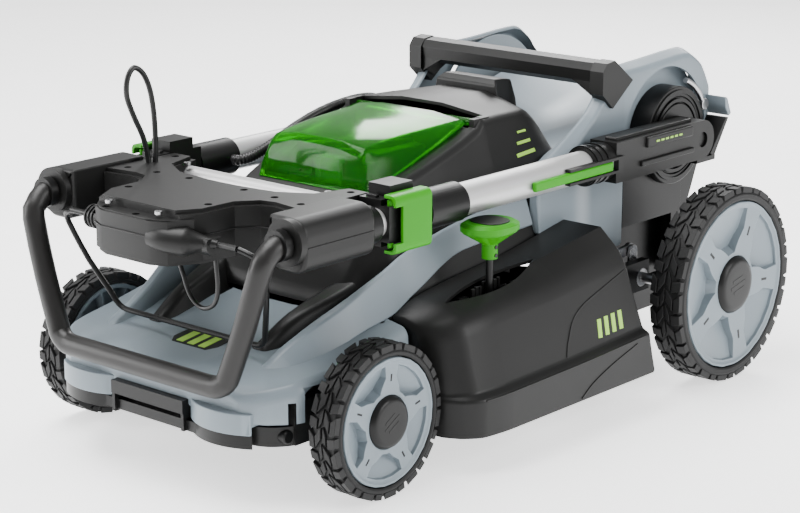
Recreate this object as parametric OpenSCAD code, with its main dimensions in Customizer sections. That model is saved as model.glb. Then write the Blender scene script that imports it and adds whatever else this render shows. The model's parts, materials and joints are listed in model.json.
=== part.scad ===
// Battery push lawn mower with its handle folded forward over the deck.
// Millimetres. Front faces -Y, the mower's left side is +X, +Z is up.
// The origin lies on the ground, under the middle of the machine's outline.

/* [Running gear] */
// Outer radius of a rear wheel
rear_r = 114; // [112:0.5:115]
// Outer radius of a front wheel
front_r = 80; // [79:0.5:81]
// Distance between the front and rear axles at mid height
wheelbase = 549; // [547:1:551]
// Half of the overall width over the rear tyres
rear_half_track = 265; // [265:1:268]
// Half of the width over the front tyres
front_half_track = 220; // [220:1:222]
// Radius of the axle stubs and cranked rods
axle_r = 6; // [5.8:0.1:6.2]
// Offset from a cranked rod to its wheel stub
crank_throw = 45; // [44:0.5:46]

/* [Deck] */
// Half width of the deck over its side skirts
deck_half_w = 252; // [251:0.5:253]
// Height of the skirt's lower edge above the ground
skirt_z = 40; // [38:1:41]
// Wall thickness of the moulded shells
wall = 3.5; // [3:0.5:4]
// Length of the cutting blade
blade_len = 482; // [470:1:484]

/* [Handle] */
// Outer radius of the lower handle tubes
tube_r = 17.5; // [17:0.5:18]
// Sideways distance of each handle tube from the middle
tube_x = 167; // [166.5:0.5:167.5]
// Radius of the telescopic upper tubes
inner_r = 15; // [14.6:0.1:15]
// Radius of the foam covered grip loop
grip_r = 11.5; // [11:0.5:12]
// Radius of the switch bail wire
bail_r = 3; // [2.5:0.5:3]

/* [Cables] */
// Radius of the corrugated cable conduit
conduit_r = 6; // [5:0.5:6]
// Radius of the thin round cables
cable_r = 3; // [2.5:0.5:3]

/* [Hidden] */
$fn = 48;

// Colours
pale = "lightsteelblue";
dark = "dimgray";
black = "black";
lime = "limegreen";
silver = "silver";

// Shared clearances
run_gap = 0.05;
gap = 0.4;

// Axles: the rear axle sets the machine's length, the front follows the wheelbase
rear_y = 282;
rear_z = rear_r;
front_y = rear_y - wheelbase;
front_z = front_r;
// The cranked rods turn ahead of their stubs
rear_rod_y = rear_y - crank_throw;
front_rod_y = front_y - crank_throw;
link_arm = 30;
link_x = 143;
link_w = 5;

// Cutting chamber
blade_y = -5;
blade_z = 60;
blade_t = 4;
blade_w = 50;
chamber_r = 247;
ceiling_z = 78;
ceiling_t = 4;
shaft_r = 8;

// Handle pivot and the line of the folded tubes
pivot_y = 322;
pivot_z = 267;
side_x = 140;
disc_r = 58;
disc_t = 9;
bracket_in = side_x + disc_t + 1.5;
bracket_out = 187;
bracket_h = 46;
pin_r = 9;
tube_front = -130;
tube_back = 262;
clamp_back = -128;
clamp_front = -228;
housing_back = -253;
housing_front = -353;
housing_in = 142;
housing_out = 190;
housing_low = 241;
housing_high = 295;

// ---------- helpers ----------

// Both sides of the machine
module both() {
    children();
    mirror([1, 0, 0]) children();
}

// Turns children so that their Z axis runs along X
module along_x() {
    rotate([0, 90, 0]) children();
}

// Turns children so that their Z axis runs along -Y
module along_y() {
    rotate([90, 0, 0]) children();
}

// A rod along X from x0 to x1 at height z and depth y
module x_rod(x0, x1, y, z, r) {
    translate([x0, y, z]) along_x() cylinder(r = r, h = x1 - x0);
}

// A rod along Y from y0 to y1
module y_rod(y0, y1, x, z, r) {
    translate([x, y1, z]) along_y() cylinder(r = r, h = y1 - y0);
}

// A box between two corners
module box(lo, hi) {
    translate(lo) cube([hi[0] - lo[0], hi[1] - lo[1], hi[2] - lo[2]]);
}

// Mirrors a half outline of [x, z] points, given from the bottom up
function sym(half) = concat(half, [for (i = [len(half) - 1:-1:0]) [-half[i][0], half[i][1]]]);

// Places a [x, z] outline at depth y, leaning back by lean for each mm of height
function at_y(y, outline, lean = 0) = [for (p = outline) [p[0], y - lean * p[1], p[1]]];

// Skin through rings with equal numbers of points, closed at both ends
module loft(rings) {
    n = len(rings[0]);
    m = len(rings);
    points = [for (r = rings) for (p = r) p];
    sides = [for (j = [0:m - 2]) for (i = [0:n - 1]) for (k = [0, 1])
        let (a = j * n + i, b = j * n + (i + 1) % n, c = a + n, d = b + n)
        k == 0 ? [a, b, c] : [b, d, c]];
    start = [[for (i = [n - 1:-1:0]) i]];
    finish = [[for (i = [0:n - 1]) (m - 1) * n + i]];
    polyhedron(points, concat(sides, start, finish), convexity = 8);
}

function unit(v) = v / norm(v);

// Points of a Catmull-Rom curve through a route
function curve_point(p, i, t) = let (
    a = p[max(i - 1, 0)], b = p[i], c = p[i + 1], d = p[min(i + 2, len(p) - 1)])
    0.5 * (2 * b + (c - a) * t + (2 * a - 5 * b + 4 * c - d) * t * t
        + (3 * b - a - 3 * c + d) * t * t * t);
function curve(p, steps) = concat(
    [for (i = [0:len(p) - 2]) for (k = [0:steps - 1]) curve_point(p, i, k / steps)],
    [p[len(p) - 1]]);

// Direction of a path at point i
function heading(p, i) = unit(p[min(i + 1, len(p) - 1)] - p[max(i - 1, 0)]);

// Side vectors carried along a path without twist, starting from u
function carried(path, u, i = 0) = i == len(path) ? [] : let (
    h = heading(path, i), w = unit(u - (u * h) * h)) concat([w], carried(path, w, i + 1));

// A tube of constant radius swept along a path, its rings set square to the path
module sweep(path, r, sides) {
    h0 = heading(path, 0);
    side = carried(path, abs(h0[2]) < 0.9 ? cross(h0, [0, 0, 1]) : [1, 0, 0]);
    rings = [for (i = [0:len(path) - 1])
        let (h = heading(path, i), u = side[i], v = cross(u, h))
        [for (k = [0:sides - 1]) path[i] + r * (cos(360 * k / sides) * u
            + sin(360 * k / sides) * v)]];
    loft(rings);
}

// ---------- deck and covers ----------

// Deck outline at one station, shrunk by t for the inside
function deck_ring(y, w, zs, sh, top, t = 0, low = 0, lean = 0) = at_y(y, sym([
    [w - t, skirt_z - low], [w - t, zs - t], [w - 9 - t, zs + 5 - t],
    [sh[0] - t, sh[1] - t], [top[0] - t, top[1] - t]]), lean);

// Stations of the deck's wide middle: y, half width, skirt top, shoulder, top edge
function deck_body(t = 0, low = 0, ends = 0) = [
    deck_ring(-184 + ends, 206, 78, [186, 148], [158, 156], t, low),
    deck_ring(-172, 232, 79, [206, 152], [174, 162], t, low),
    deck_ring(-150, 248, 80, [220, 157], [188, 170], t, low),
    deck_ring(-110, deck_half_w, 81, [224, 161], [192, 176], t, low),
    deck_ring(0, deck_half_w, 83, [225, 168], [194, 188], t, low),
    deck_ring(152 - ends, deck_half_w, 88, [226, 178], [200, 206], t, low, 0.22)];

module deck_shell() {
    color(dark) difference() {
        union() {
            difference() {
                loft(deck_body());
                loft(deck_body(wall, -6, wall));
                skirt_opening();
            }
            front_tray();
            translate([0, blade_y, skirt_z])
                cylinder(r = chamber_r + 3.5, h = ceiling_z - skirt_z + ceiling_t, $fn = 96);
        }
        // cutting chamber
        translate([0, blade_y, skirt_z - 1])
            cylinder(r = chamber_r, h = ceiling_z - skirt_z + 1, $fn = 96);
        // room for the hood, the motor shaft, the discharge and the lever
        box([-150, -190, 124], [150, 160, 230]);
        translate([0, blade_y, ceiling_z - 5]) cylinder(r = 26, h = 20);
        box([-110, 150, skirt_z - 1], [110, 260, ceiling_z - 6]);
        lever_slot();
        // room for the front rod, its lug and the link
        both() x_rod(140, 180, front_rod_y, front_z, bush_r);
        box([-153.5, front_rod_y - 13, 60], [153.5, front_rod_y + 13, 93]);
        box([link_x - 5, -192, 101], [link_x + 11, -165, 140]);
    }
}

// Opening along the underside, inside the skirt
module skirt_opening() {
    translate([0, 0, skirt_z - 5]) linear_extrude(height = 20) polygon(mirrored([
        [201, -176], [226, -166], [242, -147], [deck_half_w - 4.2, -109],
        [deck_half_w - 4.2, 134]]));
}

// Lens shaped opening that the height lever swings in
slot_y = -74;
slot_x = 190;
module lever_slot() {
    intersection() {
        translate([slot_x - 172, slot_y, 120]) cylinder(r = 186, h = 90, $fn = 96);
        translate([slot_x + 198, slot_y, 120]) cylinder(r = 212, h = 90, $fn = 96);
    }
}

// Plan outline of the narrow front, pulled in by g
function tray_outline(g) = [[166 - g, -175], [166 - g, -345 + g], [148 - g, -368 + g],
    [110, -376 + g], [-110, -376 + g], [-148 + g, -368 + g], [-166 + g, -345 + g],
    [-166 + g, -175]];

module front_tray() {
    difference() {
        translate([0, 0, tray_low]) linear_extrude(height = tray_high - tray_low)
            polygon(tray_outline(0));
        translate([0, 0, tray_low - 1]) linear_extrude(height = tray_high - tray_low - 2)
            polygon(tray_outline(wall));
    }
    // side walls that carry the front rod and the link
    both() box([155, -345, tray_low], [166, -190, 108]);
}
tray_low = 64;
tray_high = 84;
bush_r = 11;

// Pale cover over the front wheels' rod, ending in a fender tip on each side
function nose_ring(y, w, z_low, edge, mid, crown) = at_y(y, sym([
    [w, z_low], [w, edge - 8], [w - 6, edge], [mid[0], mid[1]], [40, crown], [10, crown]]));
function nose_body(t = 0, ends = 0) = [
    nose_ring(-381 + ends, 128 - t, 88 - t, 113 - t, [92, 120 - t], 121 - t),
    nose_ring(-366, 150 - t, 87 - t, 119 - t, [100, 126 - t], 127 - t),
    nose_ring(-340, 170 - t, 87 - t, 126 - t, [110, 130 - t], 131 - t),
    nose_ring(-290, 176 - t, 88 - t, 133 - t, [116, 136 - t], 137 - t),
    nose_ring(-230, 178 - t, 96 - t, 144 - t, [126, 150 - t], 150 - t),
    nose_ring(-186 - ends, 176 - t, 112 - t, 152 - t, [138, 158 - t], 158 - t)];
module nose_cover() {
    color(pale) {
        difference() {
            loft(nose_body());
            loft(nose_body(wall, wall));
            box([-200, -400, 60], [200, -150, tray_high + gap]);
            both() box([150, -352, 60], [168, -180, 108 + gap]);
            // room for the front arms and the bumper bar
            both() box([167.5, -336, 60], [200, -236, 122]);
            box([-53.4, -400, 60], [53.4, -370, 96.4]);
            // rear edge stays open under the hood
            box([-150, -200, 100], [150, -180, 154]);
            box([-126, -207, 100], [126, -180, 172]);
            both() box([58, -228, 140], [124, -180, 172]);
        }
        both() bumper_nub();
        both() side_wing();
    }
}

// Rounded pale block at each end of the bumper bar
module bumper_nub() {
    intersection() {
        union() {
            box([54, -392, 76], [138, -376.4, 98]);
            box([54, -378, tray_high + gap], [138, -360, 98]);
        }
        translate([96, -318, 70]) cylinder(r = 74, h = 40, $fn = 96);
    }
}

// Pale flank that climbs from the fender and runs back along the hood
module side_wing() {
    loft([for (f = [
        [-330, [130, 134], [114, 142], [106, 142], [104, 133]],
        [-280, [142, 140], [124, 158], [114, 158], [110, 138]],
        [-220, [148, 150], [138, 186], [128, 186], [122, 148]],
        [-178, [149, 158], [138, 202], [131, 202], [131, 156]],
        [-150, [149, 172], [135, 212], [130, 212], [145, 170]],
        [-60, [143, 202], [134, 230], [129, 230], [138.4, 200]],
        [56, [145, 208], [133, 242], [128, 242], [140.6, 206]]])
        at_y(f[0], [f[1], f[2], f[3], f[4]])]);
}

// Dark rubbing bar across the nose
module bumper_bar() {
    color(black) {
        box([-53, -389, 82], [53, -376.4, 96]);
        both() intersection() {
            box([53, -390, 62], [138, -376.4, 75.6]);
            translate([96, -316, 50]) cylinder(r = 74, h = 40, $fn = 96);
        }
        box([-100, -384, 64], [100, -376.4, 75]);
        both() box([49, -388, 64], [53, -376.4, 90]);
    }
}

// Hood outline at one station: foot, waist, eave, top edge and crown
function hood_ring(y, foot, waist, eave, crown) = at_y(y, sym([
    foot, waist, eave, [eave[0] - 5, eave[1] + 5], [30, crown]]));
function hood_body(t = 0, ends = 0) = [
    hood_ring(-206 + ends, [98 - t, 152 - t], [94 - t, 158 - t], [90 - t, 162 - t], 166 - t),
    hood_ring(-184, [124 - t, 154 - t], [112 - t, 186 - t], [98 - t, 196 - t], 200 - t),
    hood_ring(-150, [143 - t, 160 - t], [128 - t, 210 - t], [99 - t, 257 - t], 263 - t),
    hood_ring(-60, [147 - t, 172 - t], [128 - t, 228 - t], [103 - t, 287 - t], 293 - t),
    hood_ring(14, [147 - t, 184 - t], [127 - t, 238 - t], [102 - t, 312 - t], 318 - t),
    hood_ring(24, [147 - t, 185 - t], [127 - t, 239 - t], [100 - t, 320 - t], 331 - t),
    hood_ring(100, [143 - t, 192 - t], [125 - t, 248 - t], [94 - t, 318 - t], 336 - t),
    hood_ring(136, [137 - t, 196 - t], [120 - t, 252 - t], [86 - t, 300 - t], 326 - t),
    hood_ring(170 - ends, [128 - t, 200 - t], [108 - t, 246 - t], [74 - t, 268 - t],
        282 - t)];
module motor_hood() {
    color(dark) {
        difference() {
            loft(hood_body());
            loft(hood_body(wall, wall));
            box([-200, -210, 120], [200, 200, 151]);
            // open underside
            loft([at_y(-192, [[88, 120], [88, 154], [-88, 154], [-88, 120]]),
                at_y(-150, [[138, 120], [138, 166], [-138, 166], [-138, 120]]),
                at_y(178, [[124, 120], [124, 205], [-124, 205], [-124, 120]])]);
            // battery bay under the lid
            box([-78, -137, 200], [78, 10, 340]);
            lid_hinge_notch();
            x_rod(-105, 105, hinge_y, hinge_z - 4, hinge_pin_r + run_gap);
        }
        battery_tray();
        both() hood_ridge();
        both() lid_pivot_ear();
        rear_tab();
    }
}

// Raised tab on the hood ahead of the carrying bar
module rear_tab() {
    loft([for (f = [[112, 44, 322, 342], [120, 38, 322, 348], [150, 36, 300, 344],
        [156, 40, 296, 318]])
        at_y(f[0], [[f[1] + 4, f[2]], [f[1], f[3]], [-f[1], f[3]], [-f[1] - 4, f[2]]])]);
}

// Raised dark rail on each side of the nose panel
module hood_ridge() {
    loft([for (f = [[-300, 62, 92, 142, 151], [-260, 62, 104, 147, 166],
        [-205, 66, 116, 153, 180], [-176, 84, 120, 158, 190]])
        at_y(f[0], [[f[2], f[3]], [f[2] - 14, f[4]], [f[1] + 8, f[4]], [f[1], f[3] + 1]])]);
}

// Floor and walls of the battery bay
module battery_tray() {
    intersection() {
        difference() {
            box([-81, -140, 196], [81, 13, 330]);
            box([-77.5, -136.5, 199.5], [77.5, 9.5, 340]);
        }
        loft(hood_body(1.5, 1.5));
    }
    // shelf for the controller
    box([-64, 11, 205], [64, 124, 210]);
}

// Lid hinge line behind the battery
hinge_y = 26;
hinge_z = 322;
hinge_pin_r = 3;
module lid_hinge_notch() {
    box([-88, 10, 306], [88, 36, 345]);
}
module lid_pivot_ear() {
    difference() {
        box([88.4, 12, 300], [95, 38, 325]);
        x_rod(80, 105, hinge_y, hinge_z - 4, hinge_pin_r + run_gap);
    }
}

// Clear lid over the battery, hinged along its rear edge
function lid_low(y) = 265.6 + (y + 147) * 0.338;
function lid_ring(y, z, w, top_w, t = 0, low = 0) = at_y(y, sym([
    [w - t, lid_low(y) - low], [w * 0.7 + top_w * 0.3 - t, lid_low(y) * 0.5 + z * 0.5 - t],
    [top_w - t, z - t], [top_w * 0.5, z + 5 - t]]));
function lid_body(t = 0, low = 0, ends = 0) = [
    lid_ring(-147 + ends, 271, 77, 68, t, low),
    lid_ring(-143 + ends, 294, 79, 67, t, low),
    lid_ring(-131 + ends / 2, 311, 81, 66, t, low),
    lid_ring(-70, 318, 84, 70, t, low),
    lid_ring(-10, 321, 84, 74, t, low),
    lid_ring(12 - ends, 322.5, 83, 76, t, low)];
module battery_lid() {
    color("limegreen", 0.5) {
        difference() {
            loft(lid_body());
            loft(lid_body(3, 12, 3));
        }
        // hinge arms, barrel and pins
        both() box([58, 7, 316.2], [74, 27, 320.6]);
        x_rod(-87, 87, hinge_y, hinge_z - 4, 4.5);
        both() x_rod(86, 94, hinge_y, hinge_z - 4, hinge_pin_r);
    }
}

module battery_pack() {
    color(black) {
        difference() {
            box([-72, -104, 200], [72, 8, 262]);
            both() box([50, -90, 240], [80, -10, 270]);
        }
        box([-46, -96, 262], [46, -6, 286]);
        both() box([30, -90, 262], [46, -12, 296]);
        box([-30, -26, 286], [30, -12, 300]);
    }
}

// Release latch that slides away from the battery
module battery_latch() {
    color(lime) {
        box([-14, -116, 214], [14, -110, 290]);
        box([-14, -114, 284], [14, -106, 290]);
    }
}

// Pale rear body with two shoulders around the handle pivots
function rear_ring(y, foot, side, shoulder, inner, crown) = at_y(y, sym([
    foot, side, shoulder, inner, [inner[0] - 26, crown * 0.7 + inner[1] * 0.3],
    [20, crown]]));
function rear_body(t = 0, ends = 0) = [
    rear_ring(60 + ends, [149 - t, 196 - t], [148 - t, 240 - t], [143 - t, 252 - t],
        [135 - t, 256 - t], 258 - t),
    rear_ring(120, [149 - t, 172 - t], [148 - t, 246 - t], [143 - t, 276 - t],
        [130 - t, 286 - t], 260 - t),
    rear_ring(170, [side_x - t, 150 - t], [side_x - t, 256 - t], [side_x - t, 306 - t],
        [126 - t, 314 - t], 250 - t),
    rear_ring(222, [side_x - t, 150 - t], [side_x - t, 266 - t], [side_x - t, 352 - t],
        [124 - t, 361 - t], 268 - t),
    rear_ring(270, [side_x - t, 206 - t], [side_x - t, 270 - t], [side_x - t, 354 - t],
        [122 - t, 363 - t], 284 - t),
    rear_ring(353, [side_x - t, 206 - t], [side_x - t, 270 - t], [side_x - t, 358 - t],
        [122 - t, 367 - t], 300 - t),
    rear_ring(384, [side_x - t, 232 - t], [side_x - t, 270 - t], [side_x - t, 344 - t],
        [124 - t, 351 - t], 303 - t),
    rear_ring(405 - ends, [side_x - t, 262 - t], [side_x - t, 280 - t], [side_x - t, 312 - t],
        [124 - t, 318 - t], 298 - t)];
module rear_shell() {
    color(pale) {
        difference() {
            loft(rear_body());
            loft(rear_body(wall, wall));
            // open floor above the discharge and clearance for the hood
            box([-136, 55, 190], [136, 379, 236]);
            box([-136, 300, 190], [136, 420, 262]);
            box([-145.4, 55, 180], [145.4, 66, 212]);
            loft([for (f = [[50, 145, 131, 108], [100, 145, 129, 104], [137, 143, 124, 98],
                [171, 136, 114, 86]])
                at_y(f[0], sym([[f[1], 180], [f[2], 252], [f[3], 300], [f[3] - 20, 350]]))]);
            // arches around the handle pivots
            both() x_rod(122, 160, arch_y, arch_z, arch_r);
            both() box([122, arch_y - arch_r, 140], [160, arch_y + arch_r, arch_z]);
        }
        // recessed walls behind the arches
        both() difference() {
            x_rod(118, 121.6, arch_y, arch_z, arch_r + 4);
            box([100, 200, 150], [130, 420, 240]);
            box([100, 382, 235], [130, 420, 266]);
        }
        rear_lip();
    }
}

// Ledge across the back that stops the handle
arch_y = 312;
arch_z = 266;
arch_r = 83;
lip_back = 410;
lip_x = 168;
module rear_lip() {
    both() translate([side_x - 2, 0, 0]) rotate([90, 0, 90])
        linear_extrude(height = lip_x - side_x + 2)
        polygon([[396, 305], [401, 303], [lip_back, 283], [405, 280], [397, 292]]);
    translate([-side_x, 0, 0]) rotate([90, 0, 90]) linear_extrude(height = 2 * side_x)
        polygon([[398, 301], [403, 299], [lip_back, 283], [405, 280], [398, 290]]);
}

// Dark discharge frame between the rear wheels
module rear_frame() {
    color(black) {
        difference() {
            union() {
                both() box([132, 166, 98], [136, 230, 203]);
                both() box([132, 230, 98], [side_x, 349, 203]);
                both() box([132, 230, 202], [side_x, 349, 236]);
                both() box([112, 163, 98], [120, 349, 203]);
                both() box([112, 226, 52], [120, 349, 99]);
                // chute roof, floor and cross walls
                box([-120, 163, 199], [120, 349, 203]);
                box([-120, 258, 52], [120, 349, 56]);
                both() box([112, 163, 98], [136, 171, 203]);
                both() box([112, 340, 98], [side_x, 349, 236]);
                both() box([118, 163, 98], [166, 250, 134]);
                // arms that carry the door hinge
                both() translate([124, 0, 0]) rotate([90, 0, 90])
                    linear_extrude(height = door_rod_x - 124) polygon([[345, 150],
                    [358, 150], [400, 246], [400, 261], [372, 261], [345, 236]]);
                // dark strips under the ledge's ends
                both() translate([side_x, 0, 0]) rotate([90, 0, 90])
                    linear_extrude(height = lip_x - side_x)
                    polygon([[399, 279], [404.5, 279], [376, 236], [368, 240]]);
                both() box([side_x - 4, 340, 232], [lip_x, 378, 238]);
            }
            both() x_rod(100, 180, rear_rod_y, rear_z, bush_r);
            both() box([126, 150, 100], [155, 330, 170]);
            box([-150, 150, 195], [150, 172, 210]);
            // seats of the pivot discs and the door rod
            both() x_rod(100, 150, pivot_y, pivot_z, disc_r + gap);
            x_rod(-150, 150, door_y, door_z, door_pin_r);
        }
    }
}

// Rear discharge door and its hinge rod
door_y = 392;
door_z = 254;
door_rod_x = 136;
door_pin_r = 3;
module door_hinge_rod() {
    color(silver) x_rod(-door_rod_x, door_rod_x, door_y, door_z, door_pin_r);
}
module rear_door() {
    color(dark) {
        difference() {
            union() {
                rotate([90, 0, 90]) translate([0, 0, -120]) linear_extrude(height = 240)
                    polygon([[388, 252], [396, 252], [376, 112], [369, 112]]);
                x_rod(-120, 120, door_y, door_z, 7);
            }
            x_rod(-125, 125, door_y, door_z, door_pin_r + run_gap);
        }
        // stiffening ribs and pull
        for (x = [-96, -32, 32, 96]) translate([x - 2, 0, 0]) rotate([90, 0, 90])
            linear_extrude(height = 4) polygon([[392, 242], [398, 232], [383, 136], [376, 126]]);
    }
}

// Carrying bar between the shoulders
bar_x = 132;
module carry_handle() {
    color(dark) {
        translate([-bar_x, 0, 0]) rotate([90, 0, 90]) linear_extrude(height = 2 * bar_x)
            polygon([[184, 347], [196, 340], [212, 344], [222, 356], [216, 366], [202, 370],
                [187, 368], [182, 360]]);
        both() translate([bar_x - 6, 0, 0]) rotate([90, 0, 90]) linear_extrude(height = 18.5)
            polygon([[180, 334], [200, 316], [238, 344], [202, 371], [187, 369], [180, 360]]);
        both() carry_gusset();
    }
}
module carry_gusset() {
    loft([at_y(184, [[bar_x - 5, 330], [bar_x - 5, 350], [92, 350]]),
        at_y(204, [[bar_x - 5, 322], [bar_x - 5, 350], [92, 350]])]);
}

// Fixed discs and pivot pins that carry the handle
module handle_mounts() {
    color(black) both() {
        difference() {
            x_rod(121.8, side_x + disc_t, pivot_y, pivot_z, disc_r);
            x_rod(side_x + disc_t - 2, 200, pivot_y, pivot_z, 46);
        }
        x_rod(side_x + disc_t - 3, side_x + disc_t + 1, pivot_y, pivot_z, 38);
        x_rod(side_x, bracket_out - 3, pivot_y, pivot_z, pin_r);
    }
}

// Notched plate under the lever slot
gate_x = slot_x - 12;
module height_gate() {
    color(black) difference() {
        box([gate_x - 3, slot_y - 62, ceiling_z + ceiling_t], [gate_x + 3, slot_y + 62, 166]);
        for (k = [-2:2]) translate([gate_x - 5, slot_y + k * 22 - 4, 158])
            cube([10, 8, 12]);
        x_rod(gate_x - 5, gate_x + 5, slot_y - 1, lever_z, 4.5 + run_gap);
    }
}

// ---------- power unit ----------

// Fixed part of the motor, bolted to the chamber ceiling
motor_r = 62;
module motor_stator() {
    color(silver) translate([0, blade_y, 0]) {
        difference() {
            translate([0, 0, ceiling_z + ceiling_t + gap]) cylinder(r = motor_r + 10, h = 10);
            translate([0, 0, ceiling_z]) cylinder(r = 16, h = 30);
        }
        difference() {
            translate([0, 0, 88]) cylinder(r = 42, h = 56);
            translate([0, 0, 80]) cylinder(r = 16, h = 80);
        }
    }
}

// Shaft bearings of the motor and bushes of the cranked rods
module bearings() {
    color(silver) {
        for (z = [96, 132]) translate([0, blade_y, z]) difference() {
            cylinder(r = 15.95, h = 9);
            translate([0, 0, -1]) cylinder(r = shaft_r + run_gap, h = 12);
        }
        both() bush(154, front_rod_y, front_z);
        both() bush(154, rear_rod_y, rear_z);
    }
}
module bush(x, y, z) {
    difference() {
        x_rod(x, x + 12, y, z, bush_r - run_gap);
        x_rod(x - 1, x + 13, y, z, axle_r + run_gap);
    }
}

module motor_controller() {
    color(black) {
        box([-60, 40, 210], [60, 120, 236]);
        for (x = [-48:12:48]) box([x - 1.5, 44, 236], [x + 1.5, 116, 248]);
    }
}

// Rotor bell, shaft and blade seat in one turned piece
module blade_rotor() {
    color("gray") translate([0, blade_y, 0]) {
        translate([0, 0, blade_z + blade_t]) cylinder(r = shaft_r, h = 92);
        translate([0, 0, blade_z + blade_t]) cylinder(r = 22, h = 11);
        difference() {
            translate([0, 0, 116]) cylinder(r = motor_r, h = 38);
            translate([0, 0, 115]) cylinder(r = motor_r - 6, h = 34);
        }
    }
}

// Blade with sharpened ends and raised sails
module blade() {
    color(silver) translate([0, blade_y, blade_z]) {
        difference() {
            translate([-blade_len / 2, -blade_w / 2, 0]) cube([blade_len, blade_w, blade_t]);
            translate([0, 0, -1]) cylinder(r = 5.2, h = blade_t + 2);
        }
        for (a = [0, 180]) rotate(a) translate([blade_len / 2 - 62, blade_w / 2 - 16, 2])
            rotate([25, 0, 0]) cube([58, 26, 3]);
    }
}

module blade_bolt() {
    color("gray") translate([0, blade_y, 0]) {
        translate([0, 0, blade_z - 8]) cylinder(r = 9, h = 8, $fn = 6);
        translate([0, 0, blade_z - 2]) cylinder(r = 13, h = 2);
        translate([0, 0, blade_z - 2]) cylinder(r = 5, h = 6);
    }
}

// ---------- height adjustment ----------

lever_z = 104;
module lever_stem() {
    color(black) {
        box([186, slot_y - 7, lever_z - 5], [192, slot_y + 5, 150]);
        x_rod(152, 192, slot_y - 1, lever_z, 4.5);
        translate([189, slot_y - 1, 146]) cylinder(r = 4, h = 64);
        // fork that rides on the link rod's pin
        difference() {
            box([151, slot_y - 12, lever_z - 4], [155, slot_y + 10, 136]);
            box([150, slot_y - 8, 119], [156, slot_y + 6, 140]);
        }
    }
}

module lever_grip() {
    color(lime) translate([189, slot_y - 1, 0]) {
        difference() {
            union() {
                translate([0, 0, 204]) cylinder(r = 8.5, h = 22);
                hull() {
                    translate([0, 0, 220]) cylinder(r = 9, h = 2);
                    translate([0, -8, 233]) cylinder(r = 24, h = 3);
                    translate([0, 8, 233]) cylinder(r = 24, h = 3);
                }
                hull() {
                    translate([0, -8, 235]) cylinder(r = 26, h = 6);
                    translate([0, 8, 235]) cylinder(r = 26, h = 6);
                    translate([0, -6, 241]) cylinder(r = 22, h = 3);
                    translate([0, 6, 241]) cylinder(r = 22, h = 3);
                }
            }
            translate([0, 0, 190]) cylinder(r = 4.05, h = 20.1);
        }
    }
}

// Cranked arm between a rod's axis and a stub's axis
module crank_arm(x, t, y0, y1, z) {
    hull() {
        x_rod(x, x + t, y0, z, axle_r + 5);
        x_rod(x, x + t, y1, z, axle_r + 5);
    }
}

// Upright arm that the link rod is pinned to
module link_lug(y, z) {
    hull() {
        x_rod(link_x + link_w + 1, link_x + link_w + 5, y, z, 9);
        x_rod(link_x + link_w + 1, link_x + link_w + 5, y, z + link_arm, 7);
    }
    x_rod(link_x - 2, link_x + link_w + 3, y, z + link_arm, 3);
}

front_arm_x = 169;
rear_arm_x = 196;
module front_axle() {
    color(silver) {
        x_rod(-front_arm_x - 1, front_arm_x + 1, front_rod_y, front_z, axle_r);
        both() crank_arm(front_arm_x, 8, front_rod_y, front_y, front_z);
        both() x_rod(front_arm_x, front_half_track - 8, front_y, front_z, axle_r);
        link_lug(front_rod_y, front_z);
    }
}

module rear_axle() {
    color(silver) {
        x_rod(-rear_arm_x - 1, rear_arm_x + 1, rear_rod_y, rear_z, axle_r);
        both() crank_arm(rear_arm_x, 9, rear_rod_y, rear_y, rear_z);
        both() x_rod(rear_arm_x, rear_half_track - 8, rear_y, rear_z, axle_r);
        link_lug(rear_rod_y, rear_z);
    }
}

// Flat rod that ties the two cranks together
module link_rod() {
    color("gray") {
        difference() {
            union() {
                rotate([90, 0, 90]) translate([0, 0, link_x]) linear_extrude(height = link_w)
                    polygon([[front_rod_y, front_z + link_arm - 6],
                        [rear_rod_y, rear_z + link_arm - 6],
                        [rear_rod_y, rear_z + link_arm + 6],
                        [front_rod_y, front_z + link_arm + 6]]);
                x_rod(link_x, link_x + link_w, front_rod_y, front_z + link_arm, 8);
                x_rod(link_x, link_x + link_w, rear_rod_y, rear_z + link_arm, 8);
            }
            x_rod(link_x - 1, link_x + link_w + 1, rear_rod_y, rear_z + link_arm, 3 + run_gap);
            x_rod(link_x - 1, link_x + link_w + 1, front_rod_y, front_z + link_arm, 4);
        }
        x_rod(link_x + link_w - 1, link_x + link_w + 9, slot_y - 1, 124.7, 2.5);
    }
}

// ---------- wheels ----------

// Each wheel is drawn about X with its outer face at x = 0, then set in place
module at_wheel(x, y, z) {
    if (x > 0) translate([x, y, z]) children();
    else translate([x, y, z]) mirror([1, 0, 0]) children();
}

module tyre(r, rim_r, w) {
    rotate([0, 90, 0]) mirror([0, 0, 1]) {
        rotate_extrude($fn = 96) polygon([[rim_r, 0], [r - 7, 0], [r - 4, 3], [r - 3, 9],
            [r - 3, w - 9], [r - 4, w - 3], [r - 7, w], [rim_r, w]]);
        for (k = [0:23]) rotate(k * 15) {
            translate([r - 6, -4, 2]) cube([6, 8, w / 2 - 3]);
            rotate(7.5) translate([r - 6, -4, w / 2 + 1]) cube([6, 8, w / 2 - 3]);
        }
    }
}

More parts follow.
